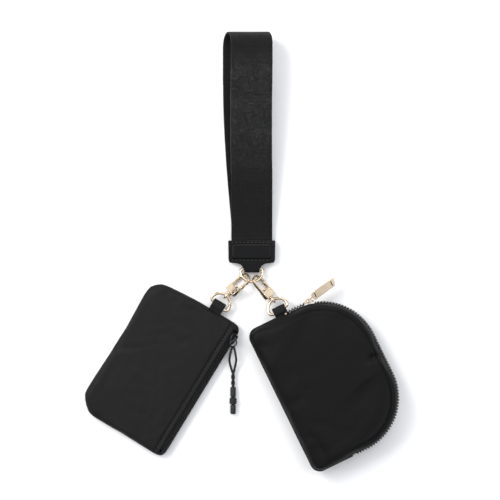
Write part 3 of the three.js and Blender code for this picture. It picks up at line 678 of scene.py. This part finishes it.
# Pouch fabric: close-woven satin nylon over thin padding. Each pouch starts as a closed pillow, is
# blown up a little as cloth with its rim held, then is cut into its panels.
def nylon_paint(name, turn, shade, shine):
    paint = Paint(name)
    at = paint.place("Object", turn=-turn, scale=1000)
    warp = paint.node("TexWave", {"bands_direction": "DIAGONAL"}, Vector=at, Scale=0.62, Distortion=0.6,
                      Detail=1.0)
    weft = paint.node("TexWave", Vector=at, Scale=0.7)
    cloud = paint.node("TexNoise", Vector=at, Scale=0.035, Detail=3.0)
    pucker = paint.node("TexNoise", Vector=paint.node("Mapping", Vector=at, Scale=(0.05, 0.11, 0.08)),
                        Scale=1.0, Detail=4.0)
    bump = paint.node("Bump", Height=paint.maths("ADD", warp, weft), Strength=0.25, Distance=0.00008)
    bump = paint.node("Bump", Height=pucker, Strength=0.22, Distance=0.0022, Normal=bump)
    tone = paint.mix(cloud, (0.0052 * shade, 0.0052 * shade, 0.0056 * shade, 1),
                      (0.0085 * shade, 0.0085 * shade, 0.009 * shade, 1))
    return paint.finish(Base_Color=tone, Roughness=paint.range(cloud, 0.3, 0.7, 0.5, 0.66), Normal=bump,
                        Specular_IOR_Level=shine, Sheen_Weight=0.03, Sheen_Roughness=0.35)


def edge_rings(outline, thick, side, crown):
    """Rings of a pillow from the bottom's middle over the rim to the top's middle, in local mm."""
    def level(inset, z, shrink=1.0):
        points = np.array(outline(inset))
        middle = points.mean(axis=0)
        flat = middle + (points - middle) * shrink
        lift = crown * (1 - shrink ** 2)
        return np.c_[flat, np.full(len(flat), z + lift if z > thick / 2 else z)]

    rings = [level(side, 0, s) for s in (0.05, 0.3, 0.55, 0.8)]
    for a in np.linspace(-90, 90, 13):
        c, n = cos(radians(a)), sin(radians(a))
        rings.append(level(side * (1 - c), thick / 2 + thick / 2 * n))
    return rings + [level(side, thick, s) for s in (0.8, 0.55, 0.3, 0.05)]


def soft_form(name, rings, material, voxel, pin, reach, pressure, grow):
    """The pillow as cloth: remeshed, blown up with pin()'s points held, moved at most reach mm."""
    made = skin(name, rings, material)
    bake(made, "REMESH", mode="VOXEL", voxel_size=voxel * MM)
    rest = points_of(made)
    group = made.vertex_groups.new(name="pin")
    for i, point in enumerate(rest):
        group.add([i], pin(point), "REPLACE")
    cloth = made.modifiers.new("cloth", "CLOTH")
    cloth.settings.use_pressure = True
    cloth.settings.uniform_pressure_force = pressure
    cloth.settings.vertex_group_mass = "pin"
    cloth.settings.mass = 0.15
    cloth.settings.tension_stiffness = 12
    cloth.settings.compression_stiffness = 12
    cloth.settings.bending_stiffness = 0.15
    cloth.settings.shrink_min = -grow
    cloth.settings.effector_weights.gravity = 0
    for step in range(1, 21):
        bpy.context.scene.frame_set(step)
    flatten(made)
    bpy.context.scene.frame_set(1)
    blown = points_of(made)
    move = blown - rest
    size = np.linalg.norm(move, axis=1)[:, None]
    blown = rest + move * np.minimum(1, reach / np.maximum(size, 1e-9))
    made.data.vertices.foreach_set("co", (blown * MM).ravel())
    made.vertex_groups.clear()
    bake(made, "SUBSURF", levels=1, render_levels=1)
    return made


def reshape(made, move):
    """Moves every vertex by a rule on its local place, all points at once, in mm."""
    points = points_of(made)
    made.data.vertices.foreach_set("co", (move(points) * MM).astype(np.float32).ravel())
    made.data.update()


def trim(made, *planes):
    """Keeps what lies on the normal's side of each plane (point, normal), in local mm."""
    build = bmesh.new()
    build.from_mesh(made.data)
    for place, way in planes:
        bmesh.ops.bisect_plane(build, geom=build.verts[:] + build.edges[:] + build.faces[:],
                               plane_co=Vector(place) * MM, plane_no=way, clear_inner=True, dist=1e-6)
    build.to_mesh(made.data)
    build.free()


def cut_window(made, low, high):
    """Cuts a rectangle (local mm, seen from above) out of a piece with clean edges."""
    build = bmesh.new()
    build.from_mesh(made.data)
    for place, way in (((low[0], 0, 0), (1, 0, 0)), ((high[0], 0, 0), (1, 0, 0)),
                       ((0, low[1], 0), (0, 1, 0)), ((0, high[1], 0), (0, 1, 0))):
        bmesh.ops.bisect_plane(build, geom=build.verts[:] + build.edges[:] + build.faces[:],
                               plane_co=Vector(place) * MM, plane_no=way, dist=1e-6)
    inside = [f for f in build.faces if low[0] < f.calc_center_median().x / MM < high[0]
              and low[1] < f.calc_center_median().y / MM < high[1]]
    bmesh.ops.delete(build, geom=inside, context="FACES")
    build.to_mesh(made.data)
    build.free()


def copy_of(made, name):
    return link(name, made.data.copy())


def settle(made, matrix):
    """Puts a piece modelled in a local frame (already in metres) in its place."""
    made.data.transform(Matrix.Translation(matrix.translation * MM) @ matrix.to_3x3().to_4x4())
    made.data.update()
    return made


def shell(made, thick):
    """Fabric thickness inwards, closed at the cut edges."""
    bake(made, "SOLIDIFY", thickness=thick * MM, offset=-1.0)
    tidy(made)
    return made


def dense(points, count):
    """A closed outline resampled at an even pitch."""
    points = np.vstack([points, points[:1]])
    lengths = run_length(points)
    stops = np.linspace(0, lengths[-1], count + 1)[:-1]
    return np.c_[np.interp(stops, lengths, points[:, 0]), np.interp(stops, lengths, points[:, 1])]


def smooth_step(x, low, high):
    t = np.clip((x - low) / (high - low), 0, 1)
    return t * t * (3 - 2 * t)


def surface_path(made, path, lift=0.0):
    """Drops a local path straight down on a piece and returns places and surface normals."""
    tree = BVHTree.FromPolygons([v.co / MM for v in made.data.vertices],
                                [p.vertices for p in made.data.polygons])
    places, ups = [], []
    for x, y in path:
        hit, way, _, _ = tree.ray_cast(Vector((x, y, 60)), Vector((0, 0, -1)))
        if hit is None:
            continue
        way = way if way.z > 0 else -way
        places.append(np.array(hit + way * lift))
        ups.append(np.array(way))
    return np.array(places), np.array(ups)


def stitched(name, made, path, matrix, body, pitch=3.0, size=(1.9, 0.75, 0.5)):
    """A row of thread stitches along a local path on a piece."""
    places, ups = surface_path(made, [p[:2] for p in spaced(np.c_[path, np.zeros(len(path))], pitch)[0]],
                               0.02)
    aims = np.gradient(places, axis=0)
    turn = np.array(matrix.to_3x3())
    at = places @ turn.T + np.array(matrix.translation)
    row = repeat(name, at, aims @ turn.T, ups @ turn.T, size, 1.0, thread)
    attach(row, body)
    return row


# Flat pouch: two panels sewn round three sides, rounded at the far corners. Its long side is open
# and closed by the zip.
CARD = turned((-68.484, -98.515, 0), 58.7)
CARD_X, CARD_Y, CARD_Z, MOUTH = 66.0, 43.5, 11.0, -37.5
CARD_SEAM = -33.9


def card_outline(inset):
    near, far, low = 6.0, 14.0, 17.0
    points = (arc(CARD_X - near, -CARD_Y + near, max(near - inset, 0.8), -90, 0, 8)
              + arc(CARD_X - far, CARD_Y - far, far - inset, 0, 90, 12)
              + arc(-CARD_X + low, CARD_Y - low, low - inset, 90, 180, 14)
              + arc(-CARD_X + near, -CARD_Y + near, max(near - inset, 0.8), 180, 270, 8))
    return dense(np.array(points), 104)


card_cloth = nylon_paint("card_nylon", 58.7, 1.15, 0.15)
card_form = soft_form(
    "card_form", edge_rings(card_outline, CARD_Z - 1.2, 5, 0.9), card_cloth, 3.2,
    lambda p: 1.0 if abs(p[2] - 5) < 1.4 or p[1] < -33 else 0.15, 1.2, 3.0, 0.006)


def card_folds(p):
    x, y, z = p.T
    out = p.copy()
    top = smooth_step(z, 5.5, 8.0)
    out[:, 0] -= 3.2 * smooth_step(x, 20, 66) * smooth_step(y, -5, 43)
    out[:, 1] -= 1.2 * np.exp(-((x - 5) / 28) ** 2) * smooth_step(y, 10, 43)
    out[:, 0] += 2.5 * smooth_step(-x, 40, 66) * smooth_step(y, 25, 43)
    pucker = 0.5 * np.sin(x * 2.1) * np.exp(-((y - CARD_SEAM) / 1.6) ** 2)
    inside = np.minimum(np.minimum(CARD_X - np.abs(x), CARD_Y - y), y + CARD_Y)
    out[:, 2] += top * (0.35 * np.sin(x / 7.5 + 0.4) * np.exp(-(CARD_Y - y) / 9)
                        + 0.45 * np.sin(y / 4.6) * np.exp(-(CARD_X - x) / 6)
                        + 0.4 * np.sin(y / 6.1 + 1) * np.exp(-(x + CARD_X) / 8))
    out[:, 2] += top * (pucker - 1.1 * np.exp(-((y - CARD_SEAM) / 1.0) ** 2))
    out[:, 2] -= top * 0.9 * np.exp(-((x - 20) ** 2 / 900 + (y - 5) ** 2 / 500)) * 0.5
    out[:, 2] = np.clip(out[:, 2], 0.25, CARD_Z + 0.6)
    return out


bake(card_form, "SUBSURF", levels=1, render_levels=1)
reshape(card_form, card_folds)
card_front = copy_of(card_form, "card_front_fabric")
trim(card_front, ((0, 0, 5.65), (0, 0, 1)))
cut_window(card_front, (-61.6, -60), (60.2, MOUTH))
card_back = copy_of(card_form, "card_back_fabric")
trim(card_back, ((0, 0, 5.35), (0, 0, -1)))
bpy.data.objects.remove(card_form)
card_row = [(x, CARD_SEAM) for x in np.linspace(60, -60, 60)]
stitched("card_mouth_stitches", card_front, card_row, CARD, "card_pouch")
for piece, node in ((card_front, "card_front_panel"), (card_back, "card_back_panel")):
    shell(piece, 0.9)
    settle(piece, CARD)
    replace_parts(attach(piece, "card_pouch"), node)

# Tabs: woven tape folded round each pouch ring's bar. The two leaves are sewn together at the root
# and into the pouch's edge seam.
twill_tape = Paint("woven_tape")
tape_at = twill_tape.place("UV")
tape_weave, tape_bump = rib_bump(twill_tape, tape_at, 0.8, 1.0, 0.6, 0.00012)
tape = twill_tape.finish(
    Base_Color=twill_tape.mix(twill_tape.range(tape_weave, -1, 1, 0, 1),
                               (0.003, 0.003, 0.0032, 1), (0.009, 0.009, 0.0095, 1)),
    Roughness=0.6, Normal=tape_bump, Specular_IOR_Level=0.2)


def folded_tab(name, node, body, place, angle, reach):
    """Tape round the bar at the local origin, its two leaves sewn together at +X."""
    high, low = 2.25, 0.8
    line = ([(x,
              high - (high - low) * smooth_step(x, 1.3,
                                                reach - 0.6)) for x in np.linspace(reach, -1.0, 14)]
            + [(-1.2 - 2.2 * sin(a), high * cos(a)) for a in np.linspace(0.12, pi - 0.12, 14)]
            + [(x,
                -high + (high - low) * smooth_step(x, 1.3,
                                                   reach - 0.6)) for x in np.linspace(-1.0, reach, 14)])
    line = np.array(line, float)
    way = heading(line)
    out = np.c_[way[:, 1], -way[:, 0]]
    far = run_length(line)
    matrix = turned(place, angle)
    rings, uv = [], []
    for (x, z), (nx, nz), s in zip(line, out, far):
        ring = []
        for across, through in ribbon_section(11.4, 0.8, 9):
            ring.append(tuple(matrix @ Vector((x + nx * through, across, z + nz * through))))
        rings.append(ring)
        uv.append([(across, s) for across, _ in ribbon_section(11.4, 0.8, 9)])
    made = skin(name, rings, tape, uv=uv)
    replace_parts(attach(made, body), node)


card_bar = CARD_RING @ Vector((0, BAR, 0))
round_bar = ROUND_RING @ Vector((0, BAR, 0))
folded_tab("card_hanging_tab", "card_tab", "card_pouch", card_bar, 238.7, 6.4)
folded_tab("round_hanging_tab", "round_tab", "round_pouch", round_bar, -64, 5.8)

# Zips: each side is a woven tape with its own row of moulded black teeth, repeated by Geometry
# Nodes. The flat pouch's zip runs along its long mouth and ends at a stop.
plastic = Paint("black_resin")
resin_noise = plastic.node("TexNoise", Vector=plastic.place("Object", scale=1000), Scale=1.5)
resin = plastic.finish(
    Base_Color=plastic.mix(resin_noise, (0.003, 0.003, 0.0034, 1), (0.007, 0.007, 0.0075, 1)),
    Roughness=0.4, Normal=plastic.node("Bump", Height=resin_noise, Strength=0.2, Distance=0.0001))
coat = Paint("black_lacquer")
lacquer_noise = coat.node("TexNoise", Vector=coat.place("Object", scale=1000), Scale=0.8, Detail=4.0)
lacquer = coat.finish(
    Base_Color=coat.mix(lacquer_noise, (0.008, 0.008, 0.009, 1), (0.018, 0.018, 0.019, 1)),
    Roughness=coat.range(lacquer_noise, 0.3, 0.7, 0.22, 0.36), Metallic=0.3,
    Normal=coat.node("Bump", Height=lacquer_noise, Strength=0.15, Distance=0.0002), Coat_Weight=0.4)


def strip(name, middle, ups, width, thick, material):
    """A thin tape whose middle runs along a path, lying across 'ups' and its direction."""
    way = heading(middle)
    side = np.cross(ups, way)
    far = run_length(middle)
    flat = ribbon_section(width, thick, 3)
    rings = [[m + s * a + u * t for a, t in flat] for m, s, u in zip(middle, side, ups)]
    uv = [[(a, f) for a, _ in flat] for f in far]
    return skin(name, rings, material, uv=uv)


def stringer(name, tape_line, teeth_line, ups, tape_width, pitch, shift, block, skip, body, node,
             matrix):
    """One side of a zip: tape and teeth, in local mm, joined as one piece."""
    turn, shift_by = np.array(matrix.to_3x3()), np.array(matrix.translation)
    band = strip("band", tape_line @ turn.T + shift_by, ups @ turn.T, tape_width, 0.75, tape)
    at, aim = spaced(teeth_line, pitch, start=shift)
    near = [np.argmin(np.linalg.norm(teeth_line - p, axis=1)) for p in at]
    keep = [i for i, p in enumerate(at) if not skip(p)]
    teeth = repeat("teeth", (at @ turn.T + shift_by)[keep], (aim @ turn.T)[keep],
                   (ups[near] @ turn.T)[keep], block, 0.55, resin)
    made = weld(name, band, teeth)
    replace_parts(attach(made, body), node)
    return made


CARD_ZIP = CARD @ Matrix.Translation((0, MOUTH - 0.3, 9.9)) @ Matrix.Rotation(radians(40), 4, "X")
run = np.linspace(-59, 59, 60)
flat_up = np.tile((0.0, 0.0, 1.0), (60, 1))
SLIDER_X = 53.0


def card_line(y):
    return np.c_[run, np.full(60, y), np.zeros(60)]


stringer("card_zip_front_side", card_line(-1.35), card_line(-2.5), flat_up, 2.2, 2.0, 0.2,
         (0.85, 2.0, 1.9),
         lambda p: abs(p[0] - SLIDER_X) < 4.6, "card_pouch", "card_zip_front", CARD_ZIP)
stringer("card_zip_back_side", card_line(-5.2), card_line(-4.05), flat_up, 2.2, 2.0, 1.2,
         (0.85, 2.0, 1.9), lambda p: abs(p[0] - SLIDER_X) < 4.6, "card_pouch", "card_zip_back", CARD_ZIP)
stop = slab("card_zip_end_stop", [[(-61, -4.9), (-59.4, -4.9), (-59.4, -1.7), (-61, -1.7)]], -0.95, 0.95,
            0.35, lacquer, CARD_ZIP)
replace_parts(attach(stop, "card_pouch"), "card_zip_stop")


# Sliders: a top plate with raised wings, a lower plate inside, the post between them, and a bail
# that holds the puller.
def slider_piece(name, matrix, material, plate_width, under, rise):
    w = plate_width / 2
    top = [(-4.4, -w * 0.62), (-3.2, -w * 0.8), (0.5, -w), (3.6, -w), (4.5, -w * 0.75), (4.5, w * 0.75),
           (3.6, w), (0.5, w), (-3.2, w * 0.8), (-4.4, w * 0.62)]
    wings = [slab("wing",
                  [[(-3.0, s * w * 0.74), (3.6, s * w * 0.74), (3.6, s * w), (-3.0, s * w * 0.88)][::s]],
                  rise + 0.9, rise + 1.55, 0.25, material, matrix) for s in (-1, 1)]
    plate = slab("plate", [top], rise, rise + 1.2, 0.4, material, matrix)
    low = slab("low", [[(x * 0.98, y * under / plate_width) for x, y in top]], -rise - 1.1, -rise, 0.35,
               material, matrix)
    post = slab("post", [[(-1.1, -0.38), (1.1, -0.38), (1.1, 0.38), (-1.1, 0.38)]], -rise - 0.3,
                rise + 0.3, 0.1, material, matrix)
    arch = []
    for a in np.linspace(0, pi, 18):
        c = Vector((2.35 * cos(a), 0, rise + 1.0 + 2.1 * sin(a) ** 0.8))
        way = Vector((cos(a), 0, sin(a)))
        arch.append([tuple(matrix @ (c + way * 0.5 * cos(b) + Vector((0, 0.85 * sin(b), 0))))
                     for b in turn_in(12)])
    bail = skin("bail", arch, material)
    return weld(name, plate, low, post, *wings, bail)


CARD_SLIDER = CARD_ZIP @ Matrix.Translation((SLIDER_X, -3.3, 0))
card_slider = slider_piece("card_slider_body", CARD_SLIDER, lacquer, 6.6, 4.4, 1.1)
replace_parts(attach(card_slider, "card_slider"), "card_slider")

# Cord puller: a black ring in the bail and a doubled cord whose strands twist round each other down
# to a sleeve, a knot and an end sleeve.
PULL_TURN = radians(-150)
bail_hole = CARD_SLIDER @ Matrix.Translation((0, 0, 3.275))
cord_ring_at = bail_hole @ Matrix.Translation((3.2 * cos(PULL_TURN), 3.2 * sin(PULL_TURN), 0))
loop_line = [(3.2 * cos(a), 3.2 * sin(a)) for a in turn_in(48)]
pull_ring = wire_ring("cord_ring_wire", loop_line, 0.6, lacquer, cord_ring_at, 14)
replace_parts(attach(pull_ring, "cord_puller"), "cord_ring")

lace = Paint("black_cord")
cord_uv = lace.node("SeparateXYZ", Vector=lace.place("UV")).node.outputs
braid = lace.maths("SINE", lace.maths("ADD", lace.maths("MULTIPLY", cord_uv[0], 18.8),
                                                  lace.maths("MULTIPLY", cord_uv[1], 7.0)))
cord_black = lace.finish(
    Base_Color=lace.mix(lace.range(braid, -1, 1, 0, 1), (0.003, 0.003, 0.0035, 1),
                               (0.016, 0.016, 0.017, 1)),
    Roughness=0.5, Normal=lace.node("Bump", Height=braid, Strength=0.7, Distance=0.00015),
    Specular_IOR_Level=0.3)
top = cord_ring_at @ Vector((3.2 * cos(PULL_TURN), 3.2 * sin(PULL_TURN), 0)) + Vector((0, -1.9, 0))
CORD_LOW = 3.2


def strand(side, bow):
    """One strand's middle line: out in a lens, then twisted round the other down to the end sleeve."""
    key = [(side * 0.5, 2.3, top.z + 0.8), (side * 1.3, 0.0, top.z), (side * bow * 0.8, -5, top.z - 1.6),
           (side * bow, -9.5, top.z - 3),
           (side * bow * 0.75, -14, CORD_LOW + 0.6), (side * 0.9, -19, CORD_LOW)]
    far = np.array([k[1] for k in key])
    line = []
    for y in np.linspace(2.3, -19, 34):
        line.append((np.interp(-y, -far, [k[0] for k in key]), y,
                     np.interp(-y, -far, [k[2] for k in key])))
    for y in np.linspace(-19.6, -54.5, 56):
        turn = (-19 - y) / 5.2 * pi
        line.append((side * 0.9 * cos(turn), y, CORD_LOW + side * 0.75 * sin(turn)))
    line = np.array(line)
    for _ in range(4):
        line[1:-1] = (line[:-2] + 2 * line[1:-1] + line[2:]) / 4
    return line + np.array([top.x, top.y, 0])


def tube(name, line, radius, material, sides=12):
    """A round cord along a line, its twist carried in the UVs."""
    way = heading(line)
    far = run_length(line)
    rings, uv = [], []
    for point, w, f in zip(line, way, far):
        side_way = np.cross((0, 0, 1.0), w)
        side_way /= max(np.linalg.norm(side_way), 1e-6)
        up = np.cross(w, side_way)
        turns = np.arange(sides) / sides
        rings.append([point + radius * (cos(2 * pi * t) * side_way + sin(2 * pi * t) * up)
                      for t in turns])
        uv.append([(t, f) for t in turns])
    return skin(name, rings, material, uv=uv)


for node, side, bow in (("cord_left", -1, 3.2), ("cord_right", 1, 2.8)):
    line = strand(side, bow)
    made = tube(node + "_strand", line, 0.95, cord_black)
    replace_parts(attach(made, "cord_puller"), node)

still = Matrix.Translation((top.x, top.y, CORD_LOW)) @ Matrix.Rotation(-pi / 2, 4, "Z")


def hose(name, node, centre, half_length, ends, middle, bore, material, rough=0.0):
    """A bored bead on the cord, its outside ringed where rough is set."""
    outer = []
    for t in np.linspace(-1, 1, 25):
        r = ends + (middle - ends) * max(0.0, 1 - (abs(t) ** 3)) + rough * sin(t * 12)
        r -= 0.35 * max(0.0, abs(t) - 0.85) / 0.15
        outer.append((r, centre + half_length * t))
    inner = [(bore, centre + half_length), (bore, centre - half_length)]
    sides = 28
    rings = []
    for k in range(sides):
        a = 2 * pi * k / sides
        rings.append([tuple(still @ Vector((x, r * cos(a), r * sin(a)))) for r, x in outer + inner])
    made = skin(name, rings, material, closed_along=True)
    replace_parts(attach(made, "cord_puller"), node)
    return made


beads = [hose("cord_upper_sleeve", "cord_sleeve_upper", 37, 4.2, 2.3, 2.5, 1.75, resin),
         hose("cord_knot_wrap", "cord_knot", 44.7, 3.0, 2.35, 3.1, 1.75, cord_black, 0.16),
         hose("end_sleeve", "cord_sleeve_lower", 52, 3.8, 2.3, 2.4, 1.75, resin)]

# Round pouch: a padded half-round case. Its front and back panels meet at the zip round the curved
# side and at the spine on the straight one.
ROUND = turned((4.842, -68.563, 0), 26)
LONG, DEEP, CORNER, SPINE = 134.6, 26.0, 49.0, 9.0
LOW_SEAM, HIGH_SEAM = 9.5, 16.5


def round_outline(inset):
    c, q = CORNER, SPINE
    points = (arc(c, -c, c - inset, 90, 0, 26) + arc(c, -LONG + c, c - inset, 0, -90, 26)
              + arc(q, -LONG + q, q - inset, 270, 180, 8) + arc(q, -q, q - inset, 180, 90, 8))
    return dense(np.array(points), 132)


def rim_depth(x, y):
    """How far a local place lies inside the outline."""
    far = CORNER - np.hypot(x - CORNER, y - np.clip(y, -LONG + CORNER, -CORNER))
    flat = np.minimum(np.minimum(x, -y), LONG + y)
    corner = SPINE - np.hypot(SPINE - x, np.maximum(y + SPINE, -LONG + SPINE - y))
    near = np.where((x < SPINE) & ((y > -SPINE) | (y < -LONG + SPINE)), corner, flat)
    return np.where(x > CORNER, far, near)


def rim_inward(x, y):
    """Unit directions from the outline straight inwards."""
    step = 0.05
    slope = np.c_[rim_depth(x + step, y) - rim_depth(x - step, y),
                  rim_depth(x, y + step) - rim_depth(x, y - step)]
    return slope / np.maximum(np.linalg.norm(slope, axis=1), 1e-6)[:, None]


round_cloth = nylon_paint("round_nylon", 26, 0.75, 0.11)
round_form = soft_form("round_form", edge_rings(round_outline, DEEP - 2.0, 7.5, 0.9), round_cloth, 4.2,
                       lambda p: 1.0 if abs(p[2] - 12) < 4.5 else 0.12, 1.6, 3.0, 0.012)


def round_folds(p):
    x, y, z = p.T
    out = p.copy()
    out[:, 2] += 1.0
    face = np.sign(z - 12.0)
    depth = rim_depth(x, y)
    away = smooth_step(np.abs(z - 12.0), 5.0, 8.5)
    zip_side = smooth_step(x, 26, 44)
    pull = zip_side * 1.5 * np.clip(1 - depth / 9.0, 0, 1)
    out[:, :2] += rim_inward(x, y) * pull[:, None]
    seam = (-1.9 * np.exp(-((depth - 7.0) / 0.9) ** 2) * zip_side
            + 0.6 * np.exp(-((depth - 8.9) / 1.2) ** 2) * zip_side)
    rim_fold = 0.5 * np.sin((x * 0.8 - y) / 5.6 + 0.7) * np.exp(-((depth - 9) / 7) ** 2)
    pinch = -3.2 * np.exp(-((x - 88.5) / 4.0) ** 2 - ((y + 66) / 3.2) ** 2)
    ridge = 1.5 * np.exp(-((x - 80) / 13) ** 2 - ((y + 73 + 0.25 * (88 - x)) / 4.5) ** 2)
    sag = -1.5 * np.exp(-((x - 64) / 24) ** 2 - ((y + 84 + 0.3 * (88 - x)) / 9) ** 2)
    low = -1.3 * np.exp(-((x - 17 + 0.12 * (y + 134)) / 4) ** 2) * smooth_step(-y, 85, 125)
    front = (face > 0) * (pinch + ridge + sag + low)
    out[:, 2] += face * away * (seam + rim_fold) + away * front
    out[:, 2] = np.clip(out[:, 2], 0.25, DEEP + 0.7)
    return out


bake(round_form, "SUBSURF", levels=1, render_levels=1)
reshape(round_form, round_folds)
round_front = copy_of(round_form, "round_front_fabric")
trim(round_front, ((0, 0, HIGH_SEAM), (0, 0, 1)))
round_back = copy_of(round_form, "round_back_fabric")
trim(round_back, ((0, 0, LOW_SEAM), (0, 0, -1)))
bpy.data.objects.remove(round_form)
round_hem = [(x, y) for x, y in round_outline(3.4) if y < -LONG + 12 and x < 46]
stitched("round_front_stitches", round_front, round_hem, ROUND, "round_lid")
for piece, body, node in ((round_front, "round_lid", "round_front_panel"),
                          (round_back, "round_pouch", "round_back_panel")):
    shell(piece, 1.0)
    settle(piece, ROUND)
    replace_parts(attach(piece, body), node)

# Its rim: the zip's two tapes and teeth from the spine round to the spine again, a gusset of the same
# nylon along the spine, and gold end stops.
ZIP_START = 39.0


def rim_line(inset, z):
    reach = CORNER - inset
    points = ([(x, -inset) for x in np.linspace(ZIP_START, CORNER, 6)[:-1]]
        + arc(CORNER, -CORNER, reach, 90, 0, 40)
              + arc(CORNER, -LONG + CORNER, reach, 0, -90, 40)
              + [(x, -LONG + inset) for x in np.linspace(CORNER, ZIP_START, 6)[1:]])
    return np.c_[np.array(points), np.full(len(points), z)]


def outward(line):
    way = np.gradient(line, axis=0)
    out = np.c_[-way[:, 1], way[:, 0], np.zeros(len(line))]
    return out / np.linalg.norm(out, axis=1)[:, None]


rim = rim_line(0, 0)
rim_out = outward(rim)
SLIDER_TURN = radians(-12.4)
ROUND_SLIDER = (ROUND @ Matrix.Translation((CORNER, -CORNER, 13)) @ Matrix.Rotation(SLIDER_TURN, 4, "Z")
                @ Matrix.Translation((0, CORNER - 1.2, 0)) @ Matrix.Rotation(-pi / 2, 4, "X"))
slider_place = np.array(ROUND.inverted() @ ROUND_SLIDER.translation)


def under_slider(p):
    return hypot(p[0] - slider_place[0], p[1] - slider_place[1]) < 4.7


teeth_high = rim_line(1.0, 14.0)
# Before the slider the zip stands open, so the front row springs out a little.
open_run = (teeth_high[:, :1] < slider_place[0] - 3) * (teeth_high[:, 1:2] > -40)
teeth_high += outward(teeth_high) * open_run * 0.9
stringer("round_zip_front_side", rim_line(1.9, 15.2), teeth_high, rim_out, 2.6, 2.6, 0.3,
         (1.45, 2.3, 2.1), under_slider, "round_lid", "round_zip_front", ROUND)
stringer("round_zip_back_side", rim_line(1.9, 10.8), rim_line(1.3, 12.0), rim_out, 2.6, 2.6, 1.6,
         (1.3, 2.1, 2.1), under_slider, "round_pouch", "round_zip_back", ROUND)
for end, y in (("upper", -1.2), ("lower", -LONG + 1.2)):
    made = slab("zip_stop_" + end,
                [[(36.9, y - 0.8), (38.7, y - 0.8), (38.7, y + 0.8), (36.9, y + 0.8)]], 11.4, 14.6,
                0.3, gold, ROUND)
    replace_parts(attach(made, "round_pouch"), "round_zip_stop_" + end)

band_path = [(x, -1.2) for x in np.linspace(36.4, SPINE, 12)[:-1]] + arc(SPINE, -SPINE, SPINE - 1.2, 90,
                                                                         180, 10)
band_path += [(1.2, y) for y in np.linspace(-SPINE, -LONG + SPINE, 40)[1:-1]]
band_path += arc(SPINE, -LONG + SPINE, SPINE - 1.2, 180, 270,
                 10) + [(x, -LONG + 1.2) for x in np.linspace(SPINE, 36.4, 12)[1:]]
band_rings = []
for i, (x, y) in enumerate(band_path):
    (x0, y0), (x1, y1) = band_path[max(i - 1, 0)], band_path[min(i + 1, len(band_path) - 1)]
    size = hypot(x1 - x0, y1 - y0)
    nx, ny = (y1 - y0) / size, -(x1 - x0) / size
    swell = 0.25 + 0.12 * sin(i * 0.9)
    profile = [(-0.75, 9.8), (-0.7, 13.0), (-0.75, 16.2), (0.5, 16.2), (0.6 + swell, 14.6),
               (0.7 + swell, 13.0), (0.6 + swell, 11.4), (0.5, 9.8)]
    band_rings.append([tuple(ROUND @ Vector((x - nx * n, y - ny * n, z))) for n, z in profile])
band = skin("round_spine_gusset", band_rings, round_cloth)
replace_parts(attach(band, "round_pouch"), "round_spine_band")

slider_body = slider_piece("round_slider_body", ROUND_SLIDER, gold, 6.8, 5.0, 1.2)
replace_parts(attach(slider_body, "round_slider"), "round_slider")

# Its puller: a flat plate with a slanted end and a dark mark near each end, hung on a small eye in
# the slider's bail.
PULLER = ROUND_SLIDER @ Matrix.Translation((0, 0, 3.425)) @ Matrix.Rotation(radians(-22), 4, "Y")
eye_line = [(1.9 + 1.9 * cos(a), 1.9 * sin(a)) for a in turn_in(32)]
pull_eye = wire_ring("pull_eye", eye_line, 0.5, gold, PULLER, 12)
lying = PULLER @ Matrix.Rotation(-pi / 2, 4, "X")
plate_edge = [(4.2, -2.2), (5.6, -3.4), (29.2, -3.4), (25.6, 3.4), (5.6, 3.4), (4.2, 2.2)]
pull_plate = slab("pull_plate", [plate_edge], -0.55, 0.55, 0.25, gold, lying, 4)
pull_neck = slab("pull_neck", [[(3.5, -0.55), (4.8, -0.55), (4.8, 0.55), (3.5, 0.55)]], -0.5, 0.5, 0.2,
                 gold, PULLER)
marks = [slab("mark", [[(x, -1.9), (x + 0.9, -1.9), (x + 0.1, 1.9), (x - 0.8, 1.9)]], -0.72, 0.72, 0.12,
              lacquer, lying)
         for x in (7.4, 24.2)]
puller = weld("round_puller_plate", pull_eye, pull_plate, pull_neck, *marks)
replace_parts(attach(puller, "round_puller"), "round_puller")
